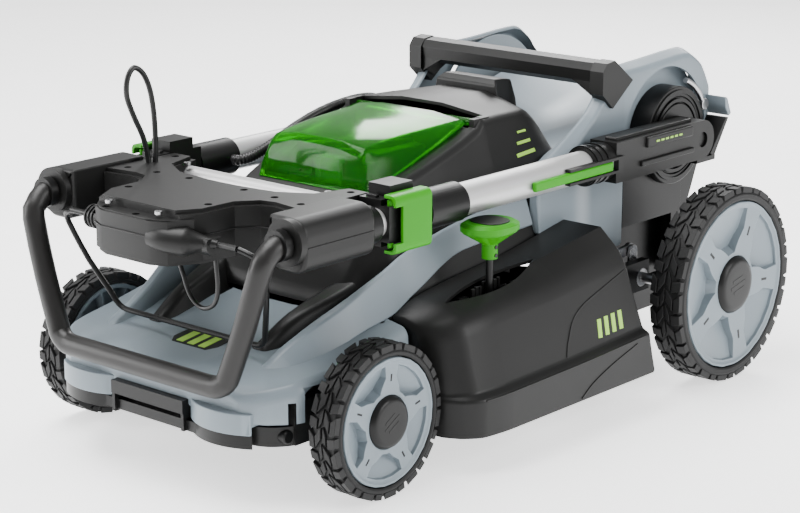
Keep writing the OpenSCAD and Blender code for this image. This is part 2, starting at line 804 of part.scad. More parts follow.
module rim(r, hub_r, w) {
    rotate([0, 90, 0]) mirror([0, 0, 1]) difference() {
        union() {
            rotate_extrude($fn = 96) polygon([[r - 5, 2], [r - gap, 2], [r - gap, w - 2],
                [r - 5, w - 2]]);
            rotate_extrude($fn = 96) polygon([[hub_r, 3], [r - 3, 3], [r - 3, 7], [hub_r, 7]]);
            translate([0, 0, 3]) cylinder(r = hub_r + 1, h = w - 5);
            for (k = [0:9]) rotate(k * 36) translate([hub_r - 1, -1.5, 6])
                cube([r - hub_r - 2, 3, w - 10]);
        }
        translate([0, 0, -1]) cylinder(r = axle_r + run_gap, h = w + 2);
        translate([0, 0, 1]) cylinder(r = hub_r - 6, h = 12);
        // five windows and the slot in each spoke
        for (k = [0:4]) rotate(k * 72 + 36) {
            translate([0, 0, 2]) linear_extrude(height = 3) polygon([
                [hub_r + 3, -6], [r - 14, -r * 0.26], [r - 8, -r * 0.2], [r - 8, r * 0.2],
                [r - 14, r * 0.26], [hub_r + 3, 6]]);
            rotate(36) translate([(hub_r + r) / 2 - 1, -1.9, 2]) cube([9, 3.8, 6.5]);
        }
    }
}

module cap(hub_r) {
    rotate([0, 90, 0]) mirror([0, 0, 1]) {
        translate([0, 0, -1]) cylinder(r = hub_r, h = 4 - gap);
        translate([0, 0, -4]) cylinder(r1 = hub_r - 6, r2 = hub_r, h = 3);
        translate([0, 0, 2]) difference() {
            cylinder(r = hub_r - 6.3, h = 4);
            translate([0, 0, -1]) cylinder(r = hub_r - 9, h = 6);
        }
    }
}

rear_rim_r = 98;
front_rim_r = 67;
rear_hub_r = 34;
front_hub_r = 28;
rear_w = 42;
front_w = 36;
module front_tyre(side) {
    at_wheel(side * front_half_track, front_y, front_z) tyre(front_r, front_rim_r, front_w);
}
module front_rim(side) {
    at_wheel(side * front_half_track, front_y, front_z) rim(front_rim_r, front_hub_r, front_w);
}
module front_cap(side) {
    at_wheel(side * front_half_track, front_y, front_z) cap(front_hub_r);
}
module rear_tyre(side) {
    at_wheel(side * rear_half_track, rear_y, rear_z) tyre(rear_r, rear_rim_r, rear_w);
}
module rear_rim(side) {
    at_wheel(side * rear_half_track, rear_y, rear_z) rim(rear_rim_r, rear_hub_r, rear_w);
}
module rear_cap(side) {
    at_wheel(side * rear_half_track, rear_y, rear_z) cap(rear_hub_r);
}

module tyre_front_left() { color("darkslategray") front_tyre(1); }
module rim_front_left() { color(pale) front_rim(1); }
module cap_front_left() { color(black) front_cap(1); }
module tyre_front_right() { color("darkslategray") front_tyre(-1); }
module rim_front_right() { color(pale) front_rim(-1); }
module cap_front_right() { color(black) front_cap(-1); }
module tyre_rear_left() { color("darkslategray") rear_tyre(1); }
module rim_rear_left() { color(pale) rear_rim(1); }
module cap_rear_left() { color(black) rear_cap(1); }
module tyre_rear_right() { color("darkslategray") rear_tyre(-1); }
module rim_rear_right() { color(pale) rear_rim(-1); }
module cap_rear_right() { color(black) rear_cap(-1); }

// ---------- lower handle ----------

module outer_tube() {
    difference() {
        y_rod(tube_front, tube_back, tube_x, pivot_z, tube_r);
        y_rod(tube_front - 1, tube_back + 1, tube_x, pivot_z, tube_r - 1.5);
    }
}
module outer_tube_left() { color(silver) outer_tube(); }
module outer_tube_right() { color(silver) mirror([1, 0, 0]) outer_tube(); }

// Arm from the pivot to the tube, with a collar and a rail for the latch
module bracket() {
    difference() {
        union() {
            box([bracket_in, 150, pivot_z - bracket_h / 2],
                [bracket_out, pivot_y, pivot_z + bracket_h / 2]);
            x_rod(bracket_in, bracket_out, pivot_y, pivot_z, bracket_h / 2);
            y_rod(112, 152, tube_x, pivot_z, tube_r + 4);
            box([tube_x + 10, 60, pivot_z - 10], [tube_x + 24, 160, pivot_z + 8]);
        }
        y_rod(100, tube_back, tube_x, pivot_z, tube_r);
        x_rod(bracket_in - 1, bracket_out + 1, pivot_y, pivot_z, pin_r + run_gap);
        // rail slot that the latch slides in
        box([tube_x + tube_r - 4, 50, pivot_z - 7], [tube_x + 30, 149, pivot_z + 5]);
        y_rod(50, 112, tube_x, pivot_z, tube_r + gap);
        box([tube_x - 30, 50, pivot_z - 30], [tube_x + 17, 112, pivot_z + 30]);
    }
}
module bracket_left() { color(dark) bracket(); }
module bracket_right() { color(dark) mirror([1, 0, 0]) bracket(); }

// Sliding release bar on the outer side of each tube
module angle_latch() {
    box([tube_x + tube_r + gap, 0, pivot_z - 6.4], [tube_x + 24, 140, pivot_z + 4.4]);
}
module angle_latch_left() { color(lime) angle_latch(); }
module angle_latch_right() { color(lime) mirror([1, 0, 0]) angle_latch(); }

// Clamps that lock the telescopic tubes
lever_pin_x = tube_x + 14;
lever_pin_y = -222;
module clamp_body() {
    difference() {
        union() {
            y_rod(clamp_front, clamp_back, tube_x, pivot_z, 18.4);
            y_rod(-164, clamp_back, tube_x, pivot_z, 21);
            box([tube_x - 22, clamp_front, pivot_z - 24], [tube_x + 18, -168, pivot_z + 24]);
            box([tube_x - 22, -214, pivot_z + 20], [tube_x + 12, -180, pivot_z + 36]);
            y_rod(clamp_back - 1, clamp_back + 22, tube_x, pivot_z, 21);
        }
        y_rod(clamp_front - 1, clamp_back + 30, tube_x, pivot_z, inner_r + run_gap);
        y_rod(tube_front, clamp_back + 30, tube_x, pivot_z, tube_r + run_gap);
        translate([lever_pin_x, lever_pin_y, 100]) cylinder(r = 3 + run_gap, h = 400);
        // room for the lever's arms
        box([tube_x + 7, clamp_front - 1, pivot_z + 18.5], [tube_x + 40, -160, pivot_z + 60]);
        box([tube_x + 7, clamp_front - 1, pivot_z - 60], [tube_x + 40, -160, pivot_z - 18.5]);
    }
}
module clamp_bodies() { color(black) both() clamp_body(); }

module clamp_lever() {
    difference() {
        union() {
            // grip band
            box([tube_x + 19, -216, pivot_z - 22], [tube_x + 26, -170, pivot_z + 30]);
            // arms above and below
            box([lever_pin_x - 4, -227, pivot_z + 19], [tube_x + 26, -172, pivot_z + 30]);
            box([lever_pin_x - 4, -227, pivot_z - 30], [tube_x + 26, -172, pivot_z - 19]);
        }
        box([tube_x - 5, -228.5, pivot_z - 18.9], [tube_x + 18.5, -160, pivot_z + 18.9]);
    }
    // stub pins above and below the tube
    translate([lever_pin_x, lever_pin_y, pivot_z + 12.5]) cylinder(r = 3, h = 12);
    translate([lever_pin_x, lever_pin_y, pivot_z - 24.5]) cylinder(r = 3, h = 12);
}
module clamp_lever_left() { color(lime) clamp_lever(); }
module clamp_lever_right() { color(lime) mirror([1, 0, 0]) clamp_lever(); }

// Conduit from the right clamp up and back to the pivot
conduit_route = [[-146.8, -117, 267], [-138, -115, 267.5], [-130, -104, 271],
    [-124, -82, 281], [-119, -50, 296], [-117, -15, 307], [-117, 20, 313], [-118, 55, 315],
    [-122, 86, 312], [-131, 107, 304], [-143, 117, 291], [-152.5, 119, 281.5]];
module conduit() {
    color(black) sweep(curve(conduit_route, 2), conduit_r, 10);
}

// ---------- upper handle ----------

module inner_tubes() {
    color(silver) both() difference() {
        y_rod(-330, 100, tube_x, pivot_z, inner_r);
        y_rod(-331, 101, tube_x, pivot_z, inner_r - 1.5);
    }
}

// Rounded housing at the end of each upper tube
module end_housing() {
    difference() {
        union() {
            translate([0, housing_back, 0]) along_y() linear_extrude(
                height = housing_back - housing_front) polygon([
                [housing_in, housing_low + 10], [housing_in + 10, housing_low],
                [housing_out - 12, housing_low], [housing_out - 3, housing_low + 5],
                [housing_out, housing_low + 14], [housing_out, housing_high - 14],
                [housing_out - 4, housing_high - 5], [housing_out - 14, housing_high],
                [housing_in, housing_high]]);
            y_rod(housing_front - 10, housing_front + 1, ring_x, ring_z, 21);
        }
        y_rod(-331, housing_back + 1, tube_x, pivot_z, inner_r + run_gap);
        y_rod(housing_front - 12, housing_front + 12, ring_x, ring_z, grip_r + run_gap);
    }
}
ring_x = 169;
ring_z = 272;
module end_housing_left() { color(dark) end_housing(); }
module end_housing_right() { color(dark) mirror([1, 0, 0]) end_housing(); }

cross_y = -220;
cross_z = 271;
module cross_tube() {
    color(silver) x_rod(-housing_in + 8, housing_in - 8, cross_y, cross_z, 12);
}

// Plan outline of the switch box, half, from the middle back round to the nose
function box_half(g) = [[20, -272 - g], [70, -266 - g], [104, -246 - g], [112 + g, -207 - g],
    [141.5, -207 - g],
    [141.5, -312 + g], [104 - g / 2, -306 + g], [88 - g, -310 + g], [72 - g, -330 + g],
    [70 - g, -372 + g], [52 - g, -402 + g], [34 - g, -410 + g]];
function mirrored(half) = concat(half, [for (i = [len(half) - 1:-1:0])
    [-half[i][0], half[i][1]]]);
box_seam = 266;
box_top = 291;
box_low = 236;
module box_prism(g, z0, z1) {
    translate([0, 0, z0]) linear_extrude(height = z1 - z0) polygon(mirrored(box_half(g)));
}
module cross_slot() {
    x_rod(-housing_in + 8, housing_in - 8, cross_y, cross_z, 12 + run_gap);
}
knob_y = -375;
knob_z = 261;
module knob_bore() {
    x_rod(-100, 100, knob_y, knob_z, bail_r + run_gap);
}
module switch_box_top() {
    color(dark) difference() {
        union() {
            box_prism(0, box_seam, box_top - 4);
            box_prism(4, box_top - 4.5, box_top);
        }
        box_prism(wall, box_seam - 1, box_top - 5 - wall);
        cross_slot();
        knob_bore();
        for (p = box_screw_at) translate([p[0], p[1], box_top - 5]) cylinder(r = 4.2, h = 6);
    }
}
module switch_box_base() {
    color(dark) difference() {
        union() {
            box_prism(0, box_low + 4, box_seam - 0.01);
            box_prism(2, box_low, box_low + 4.5);
            both() x_rod(62, 89, knob_y, knob_z - 5, 8);
            both() x_rod(62, 90, knob_y, knob_z - 1, 11);
        }
        box_prism(wall, box_low + wall, box_seam + 1);
        cross_slot();
        knob_bore();
        // start button's opening
        translate([button_x, button_y, box_low - 2])
            cylinder(r = button_r + gap, h = wall + 4);
        box([-200, -400, box_seam - 0.01], [200, -300, box_seam + 30]);
    }
}

// Start button on the face that is upward when the handle is in use
button_x = -26;
button_y = -345;
button_r = 13;
module start_button() {
    color(lime) {
        translate([button_x, button_y, box_low - 4]) cylinder(r = button_r, h = 10);
        translate([button_x, button_y, box_low + wall + 1]) cylinder(r = button_r + 3, h = 3);
    }
}

// Grip loop, hanging from the housings
loop_low = 124;
grip_route = [[ring_x, -352, ring_z], [ring_x, -362, ring_z], [169, -374, 269],
    [167, -384, 260], [165, -389, 248], [146, -392, 190], [127, -394, 142],
    [122, -395, 132], [113, -396, 126], [100, -396, loop_low], [60, -396, loop_low]];
function mirror_route(r) = concat(r, [for (i = [len(r) - 1:-1:0])
    [-r[i][0], r[i][1], r[i][2]]]);
module grip_loop() {
    color("dimgray") sweep(curve(mirror_route(grip_route), 2), grip_r, 16);
}

// Bail wire, pivoting in the switch box's two knobs
bail_route = [[74, knob_y, knob_z], [95, knob_y, knob_z], [120, -373, 260],
    [136, -369, 255], [142, -363, 246], [141, -357, 232], [130, -346, 200],
    [115, -333, 168], [110, -329, 157], [102, -327, 150], [88, -326, 148],
    [40, -326, 148]];
module bail() {
    color("gray") {
        sweep(curve(mirror_route(slice(bail_route, 2)), 2), bail_r, 10);
        both() x_rod(74, 121, knob_y, knob_z, bail_r);
    }
}
function slice(p, from) = [for (i = [from:len(p) - 1]) p[i]];

// Cable that stands in a tall loop behind the right housing
cable_loop_route = [[-126, -262, 288], [-127, -263, 300], [-128, -268, 320],
    [-130, -279, 345], [-131, -286, 366], [-131, -284, 384], [-130, -276, 394],
    [-128, -266, 388], [-127, -258, 372], [-126, -254, 350], [-125, -253, 325],
    [-124, -254, 304], [-124, -255, 288]];
module cable_loop() {
    color(black) sweep(curve(cable_loop_route, 2), cable_r, 8);
}

// Thin cable under the switch box, from its base down and back up to a boot
switch_cable_route = [[66, -352, 240], [68, -352, 226], [69, -352, 208], [66, -352, 194],
    [58, -352, 186], [46, -352, 183], [34, -352, 188], [26, -352, 198], [20, -352, 212],
    [14, -352, 226], [11, -352, 240]];
module switch_cable() {
    color(black) sweep(curve(switch_cable_route, 2), 2.4, 8);
}

// A hexagon socket screw head
module screw(r) {
    difference() {
        cylinder(r = r, h = 3);
        translate([0, 0, 1.2]) cylinder(r = r * 0.5, h = 3, $fn = 6);
    }
}

// Bolts that hold the motor up against the chamber ceiling
motor_bolt_circle = 52;
module motor_bolts() {
    color("gray") translate([0, blade_y, ceiling_z]) for (k = [0:3]) rotate(k * 90 + 45)
        translate([motor_bolt_circle, 0, 0]) mirror([0, 0, 1]) screw(6);
}

// Screws sunk in the switch box
box_screw_at = [for (p = [[36, -398], [58, -352], [40, -285], [86, -288], [126, -292],
    [103, -228], [128, -222]]) for (s = [-1, 1]) [s * p[0], p[1]]];
module box_screws() {
    color("gray") for (p = box_screw_at) translate([p[0], p[1], box_top - 5]) screw(3.8);
}

deck_shell();
nose_cover();
bumper_bar();
motor_hood();
rear_shell();
rear_frame();
carry_handle();
handle_mounts();
height_gate();
motor_stator();
bearings();
motor_controller();
battery_pack();
motor_bolts();
box_screws();
door_hinge_rod();
battery_latch();
battery_lid();
rear_door();
blade_rotor();
blade();
blade_bolt();
lever_stem();
lever_grip();
front_axle();
rear_axle();
link_rod();
tyre_front_left();
rim_front_left();
cap_front_left();
tyre_front_right();
rim_front_right();
cap_front_right();
tyre_rear_left();
rim_rear_left();
cap_rear_left();
tyre_rear_right();
rim_rear_right();
cap_rear_right();
outer_tube_left();
outer_tube_right();
bracket_left();
bracket_right();
clamp_bodies();
conduit();
clamp_lever_left();
clamp_lever_right();
angle_latch_left();
angle_latch_right();
inner_tubes();
end_housing_left();
end_housing_right();
cross_tube();
switch_box_top();
switch_box_base();
grip_loop();
bail();
start_button();
cable_loop();
switch_cable();
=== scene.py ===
import bpy, bmesh, json, math, random
from mathutils import Vector, Matrix

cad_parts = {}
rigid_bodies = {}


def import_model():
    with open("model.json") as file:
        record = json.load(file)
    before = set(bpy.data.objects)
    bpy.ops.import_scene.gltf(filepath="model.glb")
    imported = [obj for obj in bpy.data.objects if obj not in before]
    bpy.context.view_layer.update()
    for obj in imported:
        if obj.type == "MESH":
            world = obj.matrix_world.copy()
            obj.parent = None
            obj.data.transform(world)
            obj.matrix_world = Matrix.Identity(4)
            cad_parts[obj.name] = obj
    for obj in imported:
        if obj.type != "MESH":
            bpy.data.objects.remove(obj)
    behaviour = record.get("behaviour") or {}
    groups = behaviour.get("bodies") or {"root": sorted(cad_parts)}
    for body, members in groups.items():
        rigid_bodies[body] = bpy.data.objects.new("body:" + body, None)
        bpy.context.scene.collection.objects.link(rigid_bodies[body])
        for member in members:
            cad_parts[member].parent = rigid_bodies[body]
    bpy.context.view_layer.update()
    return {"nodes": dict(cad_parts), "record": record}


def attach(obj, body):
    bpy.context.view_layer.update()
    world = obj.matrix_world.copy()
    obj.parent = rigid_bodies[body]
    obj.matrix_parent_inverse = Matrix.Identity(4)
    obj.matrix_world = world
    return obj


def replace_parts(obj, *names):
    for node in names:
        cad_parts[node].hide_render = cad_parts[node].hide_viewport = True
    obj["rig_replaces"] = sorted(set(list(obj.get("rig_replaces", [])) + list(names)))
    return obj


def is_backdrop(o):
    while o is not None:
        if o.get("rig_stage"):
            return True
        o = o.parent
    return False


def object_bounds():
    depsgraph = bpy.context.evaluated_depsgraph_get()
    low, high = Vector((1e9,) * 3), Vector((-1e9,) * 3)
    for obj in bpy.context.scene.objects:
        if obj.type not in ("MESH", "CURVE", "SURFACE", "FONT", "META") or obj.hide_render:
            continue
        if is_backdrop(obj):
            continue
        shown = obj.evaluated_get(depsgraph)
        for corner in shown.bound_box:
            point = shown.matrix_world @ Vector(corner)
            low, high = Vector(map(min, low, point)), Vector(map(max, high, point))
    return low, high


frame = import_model()
MM = 0.001
TUBE_X, TUBE_Z, PIVOT_Y = 167, 267, 322
BODY = {n: b for b, ns in frame["record"]["behaviour"]["bodies"].items() for n in ns}
SLOT = {s["node"]: s["material_slot"] for s in frame["record"]["subparts"]}
scene = bpy.context.scene
SIDES = (("left", 1), ("right", -1))

# ---------- camera and light ----------
az, el = math.radians(41.3), math.radians(14.93)
back = Vector((math.sin(az) * math.cos(el), -math.cos(az) * math.cos(el), math.sin(el)))
cam = bpy.data.objects.new("camera", bpy.data.cameras.new("camera"))
scene.collection.objects.link(cam)
cam.location = (1.57543, -1.79468, 0.79404)
cam.rotation_euler = back.to_track_quat("Z", "Y").to_euler()
cam.data.sensor_width = 36
cam.data.lens = 98.55
scene.camera = cam


def area(name, loc, target, size, power):
    d = bpy.data.lights.new(name, "AREA")
    d.shape = "RECTANGLE"
    d.size, d.size_y = size
    d.energy = power
    o = bpy.data.objects.new(name, d)
    scene.collection.objects.link(o)
    o.location = loc
    o.rotation_euler = (Vector(loc) - Vector(target)).to_track_quat("Z", "Y").to_euler()
    return o


area("key_top", (-0.6, -0.6, 2.6), (0, 0, 0.2), (2.2, 1.6), 150)
area("left_strip", (-2.0, -1.9, 1.1), (0, 0, 0.2), (0.8, 1.8), 75)
area("right_side", (2.6, 0.6, 1.3), (0, 0, 0.2), (1.6, 1.6), 70)
area("back_rim", (-1.2, 2.4, 1.6), (0, 0.1, 0.3), (1.8, 0.8), 60)
world = bpy.data.worlds.new("studio")
scene.world = world
world.use_nodes = True
wb = world.node_tree.nodes["Background"]
wb.inputs[0].default_value = (1, 1, 1, 1)
wb.inputs[1].default_value = 0.6


# ---------- materials ----------
def material(name, base, rough, metal=0.0, grain=900.0, bump=0.12, depth=0.00015, vary=0.08,
             rough_vary=0.08, wear=0.0, clear=0.0, stretch=None, ior=1.5, spec=0.5, glow=0.0):
    """Principled plastic or metal with broad blotches, fine grain and worn edges."""
    m = bpy.data.materials.new(name)
    m.use_nodes = True
    nt = m.node_tree
    n, link = nt.nodes, nt.links
    p = n["Principled BSDF"]
    tc = n.new("ShaderNodeTexCoord")
    src = tc.outputs["Object"]
    if stretch:
        mp = n.new("ShaderNodeMapping")
        mp.inputs["Scale"].default_value = stretch
        link.new(src, mp.inputs["Vector"])
        src = mp.outputs["Vector"]
    big = n.new("ShaderNodeTexNoise")
    big.inputs["Scale"].default_value = 9.0
    big.inputs["Detail"].default_value = 6
    link.new(src, big.inputs["Vector"])
    fine = n.new("ShaderNodeTexNoise")
    fine.inputs["Scale"].default_value = grain
    fine.inputs["Detail"].default_value = 3
    link.new(src, fine.inputs["Vector"])
    ramp = n.new("ShaderNodeValToRGB")
    ramp.color_ramp.elements[0].position = 0.3
    ramp.color_ramp.elements[1].position = 0.7
    ramp.color_ramp.elements[0].color = (*[max(0, c * (1 - vary)) for c in base], 1)
    ramp.color_ramp.elements[1].color = (*[min(1, c * (1 + vary)) for c in base], 1)
    link.new(big.outputs["Fac"], ramp.inputs["Fac"])
    col = ramp.outputs["Color"]
    speck = n.new("ShaderNodeMix")
    speck.data_type = "RGBA"
    speck.blend_type = "MULTIPLY"
    speck.inputs["Factor"].default_value = 0.35
    link.new(col, speck.inputs["A"])
    link.new(fine.outputs["Color"], speck.inputs["B"])
    sp = n.new("ShaderNodeMix")
    sp.data_type = "RGBA"
    sp.inputs["Factor"].default_value = 0.25
    link.new(col, sp.inputs["A"])
    link.new(speck.outputs["Result"], sp.inputs["B"])
    col = sp.outputs["Result"]
    if wear:
        g = n.new("ShaderNodeNewGeometry")
        wr = n.new("ShaderNodeMapRange")
        wr.inputs["From Min"].default_value = 0.515
        wr.inputs["From Max"].default_value = 0.60
        wr.inputs["To Max"].default_value = wear
        link.new(g.outputs["Pointiness"], wr.inputs["Value"])
        wm = n.new("ShaderNodeMix")
        wm.data_type = "RGBA"
        wc = tuple(min(1, c * 1.7 + 0.03) for c in base)
        wm.inputs["B"].default_value = (*wc, 1)
        link.new(wr.outputs["Result"], wm.inputs["Factor"])
        link.new(col, wm.inputs["A"])
        col = wm.outputs["Result"]
    link.new(col, p.inputs["Base Color"])
    rr = n.new("ShaderNodeMapRange")
    rr.inputs["To Min"].default_value = max(0.02, rough - rough_vary)
    rr.inputs["To Max"].default_value = min(1, rough + rough_vary)
    link.new(big.outputs["Fac"], rr.inputs["Value"])
    link.new(rr.outputs["Result"], p.inputs["Roughness"])
    b = n.new("ShaderNodeBump")
    b.inputs["Strength"].default_value = bump
    b.inputs["Distance"].default_value = depth
    link.new(fine.outputs["Fac"], b.inputs["Height"])
    link.new(b.outputs["Normal"], p.inputs["Normal"])
    p.inputs["Metallic"].default_value = metal
    p.inputs["IOR"].default_value = ior
    p.inputs["Specular IOR Level"].default_value = spec
    if glow:
        p.inputs["Emission Color"].default_value = (1, 1, 1, 1)
        p.inputs["Emission Strength"].default_value = glow
    if clear:
        p.inputs["Transmission Weight"].default_value = clear
    return m


M = {
    "dark_plastic": material("dark_plastic", (0.0065, 0.0065, 0.0063), 0.42, bump=0.22,
                             wear=0.05, spec=0.22),
    "pale_plastic": material("pale_plastic", (0.165, 0.200, 0.225), 0.40, spec=0.35,
                             bump=0.10, vary=0.04, wear=0.25),
    "black_plastic": material("black_plastic", (0.003, 0.003, 0.003), 0.36, bump=0.15,
                              wear=0.05, spec=0.22),
    "green_plastic": material("green_plastic", (0.020, 0.215, 0.0003), 0.40, spec=0.15,
                              bump=0.08, vary=0.05, wear=0.3),
    "clear_green": material("clear_green", (0.05, 0.56, 0.02), 0.09, bump=0.02, vary=0.03,
                            rough_vary=0.03, clear=0.92, ior=1.18, spec=0.12),
    "aluminium": material("aluminium", (0.56, 0.56, 0.56), 0.42, metal=0.75, grain=220,
                          bump=0.10, depth=0.00006, vary=0.05, stretch=(1, 0.05, 1)),
    "steel": material("steel", (0.42, 0.42, 0.43), 0.30, metal=1.0, grain=300, bump=0.12,
                      depth=0.00006, wear=0.3),
    "tyre": material("tyre", (0.005, 0.005, 0.0052), 0.55, grain=700, bump=0.35, vary=0.2,
                     wear=0.12, spec=0.25),
    "foam": material("foam", (0.008, 0.0075, 0.0072), 0.42, spec=0.3, grain=1100, bump=0.35,
                     vary=0.10),
    "cable_rubber": material("cable_rubber", (0.005, 0.005, 0.005), 0.36, spec=0.4, bump=0.1),
}
brand_green = material("mark_green", (0.30, 0.56, 0.06), 0.45, vary=0.03)


# ---------- mesh helpers ----------
def link_obj(name, me, mats):
    o = bpy.data.objects.new(name, me)
    scene.collection.objects.link(o)
    for m in mats if isinstance(mats, (list, tuple)) else [mats]:
        me.materials.append(m)
    return o


def smooth(me, angle=32):
    me.shade_smooth()
    me.set_sharp_from_angle(angle=math.radians(angle))


def mesh_from(bm, name, angle=None):
    """The bmesh as a mesh with its faces turned outward, smoothed up to angle if given."""
    bmesh.ops.recalc_face_normals(bm, faces=bm.faces)
    me = bpy.data.meshes.new(name)
    bm.to_mesh(me)
    bm.free()
    if angle:
        smooth(me, angle)
    return me


def bridge(bm, a, b):
    """Quads between two closed rings of vertices."""
    n = len(a)
    for i in range(n):
        j = (i + 1) % n
        bm.faces.new((a[i], a[j], b[j], b[i]))


def close_box(bm, vs):
    """Six faces on eight vertices: one end's four corners, then the other's."""
    for f in ((0, 1, 2, 3), (7, 6, 5, 4), (0, 4, 5, 1), (1, 5, 6, 2), (2, 6, 7, 3),
              (3, 7, 4, 0)):
        bm.faces.new([vs[i] for i in f])


def bevel(o, width, seg=2, angle=32):
    b = o.modifiers.new("bevel", "BEVEL")
    b.width = width
    b.segments = seg
    b.limit_method = "ANGLE"
    b.angle_limit = math.radians(angle)
    b.harden_normals = True
    b.use_clamp_overlap = True


def weighted(o):
    w = o.modifiers.new("normals", "WEIGHTED_NORMAL")
    w.keep_sharp = True


def body_from(rings, name="solid"):
    """A closed solid through rings of (x, y, z) points in mm."""
    bm = bmesh.new()
    rows = [[bm.verts.new((p[0] * MM, p[1] * MM, p[2] * MM)) for p in r] for r in rings]
    for a, b in zip(rows, rows[1:]):
        bridge(bm, a, b)
    bm.faces.new(rows[0][::-1])
    bm.faces.new(rows[-1])
    return link_obj(name, mesh_from(bm, name), [])


def tube_mesh(name, pts, radius, mat, sides=20):
    """A tube through pts (mm) whose radius is radius(distance along it)."""
    path = [Vector(p) for p in pts]
    up, rings, d = None, [], 0.0
    for i, p in enumerate(path):
        h = (path[min(i + 1, len(path) - 1)] - path[max(i - 1, 0)]).normalized()
        if up is None:
            up = h.cross(Vector((0, 0, 1)) if abs(h.z) < 0.9 else Vector((1, 0, 0)))
        up = (up - up.dot(h) * h).normalized()
        v = up.cross(h)
        if i:
            d += (p - path[i - 1]).length
        r = radius(d)
        rings.append([p + r * (math.cos(math.tau * k / sides) * up
                      + math.sin(math.tau * k / sides) * v) for k in range(sides)])
    o = body_from(rings, name)
    o.data.materials.append(mat)
    smooth(o.data, 60)
    return o


def finish_piece(o, body, replaces=()):
    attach(o, body)
    for r in replaces:
        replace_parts(o, r)
    return o


def refine(node, width=0.0008, seg=2, angle=32, mat=None):
    """A CAD node's own surface with welded faces and rounded edges."""
    me = frame["nodes"][node].data.copy()
    me.materials.clear()
    bm = bmesh.new()
    bm.from_mesh(me)
    bmesh.ops.remove_doubles(bm, verts=bm.verts, dist=2e-6)
    bmesh.ops.dissolve_limit(bm, angle_limit=math.radians(0.6), verts=bm.verts, edges=bm.edges,
                             delimit=set())
    bm.to_mesh(me)
    bm.free()
    smooth(me, angle)
    o = link_obj("fine_" + node, me, mat or M[SLOT[node]])
    if width:
        bevel(o, width, seg, angle)
    weighted(o)
    return finish_piece(o, BODY[node], [node])


def catmull(p, steps):
    out = []
    for i in range(len(p) - 1):
        a, b, c, d = p[max(i - 1, 0)], p[i], p[i + 1], p[min(i + 2, len(p) - 1)]
        for k in range(steps):
            t = k / steps
            out.append([0.5 * (2 * b[j] + (c[j] - a[j]) * t + (2 * a[j] - 5 * b[j] + 4 * c[j]
                        - d[j]) * t * t + (3 * b[j] - a[j] - 3 * c[j] + d[j]) * t ** 3)
                        for j in range(3)])
    out.append(list(p[-1]))
    return out


def wire(name, pts, r, mat, res=8):
    cu = bpy.data.curves.new(name, "CURVE")
    cu.dimensions = "3D"
    cu.bevel_depth = r
    cu.bevel_resolution = res
    cu.use_fill_caps = True
    s = cu.splines.new("POLY")
    s.points.add(len(pts) - 1)
    for q, p in zip(s.points, pts):
        q.co = (p[0] * MM, p[1] * MM, p[2] * MM, 1)
    s.use_smooth = True
    cu.materials.append(mat)
    o = bpy.data.objects.new(name, cu)
    scene.collection.objects.link(o)
    return o


# ---------- cords ----------
conduit_route = [[-146.8, -117, 267], [-138, -115, 267.5], [-130, -104, 271],
    [-124, -82, 281], [-119, -50, 296], [-117, -15, 307], [-117, 20, 313], [-118, 55, 315],
    [-122, 86, 312], [-131, 107, 304], [-143, 117, 291], [-152.5, 119, 281.5]]
cable_loop_route = [[-126, -262, 288], [-127, -263, 300], [-128, -268, 320],
    [-130, -279, 345], [-131, -286, 366], [-131, -284, 384], [-130, -276, 394],
    [-128, -266, 388], [-127, -258, 372], [-126, -254, 350], [-125, -253, 325],
    [-124, -254, 304], [-124, -255, 288]]
switch_cable_route = [[66, -352, 240], [68, -352, 226], [69, -352, 208], [66, -352, 194],
    [58, -352, 186], [46, -352, 183], [34, -352, 188], [26, -352, 198], [20, -352, 212],
    [14, -352, 226], [11, -352, 240]]


route = catmull(conduit_route, 34)
conduit = tube_mesh("corrugated_conduit", route,
                    lambda d: 5.55 + 0.45 * math.cos(d * 2 * math.pi / 3.4), M["cable_rubber"])
finish_piece(conduit, "lower_handle", ["conduit"])
route = catmull(cable_loop_route, 8)
loop = wire("standing_cable_loop", route, 0.003, M["cable_rubber"])
finish_piece(loop, "upper_handle", ["cable_loop"])
route = catmull(switch_cable_route, 8)
swc = wire("thin_switch_cable", route, 0.0024, M["cable_rubber"])
finish_piece(swc, "upper_handle", ["switch_cable"])


# ---------- wheels ----------
def revolve(bm, profile, n):
    """profile: (radius, x) pairs, closed; the axis is X."""
    rings = []
    for k in range(n):
        a = 2 * math.pi * k / n
        rings.append([bm.verts.new((x, r * math.cos(a), r * math.sin(a))) for r, x in profile])
    for k in range(n):
        bridge(bm, rings[k], rings[(k + 1) % n])


def block(bm, corners, depth):
    """A raised block: corners are four (angle, x) pairs, depth is (low radius, high radius)."""
    lo, hi = depth
    ring = []
    for r, s in ((lo, 1.0), (hi, 0.90)):
        ca = sum(c[0] for c in corners) / len(corners)
        cx = sum(c[1] for c in corners) / len(corners)
        row = []
        for a, x in corners:
            a2, x2 = ca + (a - ca) * s, cx + (x - cx) * s
            row.append(bm.verts.new((x2, r * math.cos(a2), r * math.sin(a2))))
        ring.append(row)
    bridge(bm, ring[0], ring[1])
    bm.faces.new(ring[1])
    bm.faces.new(ring[0][::-1])


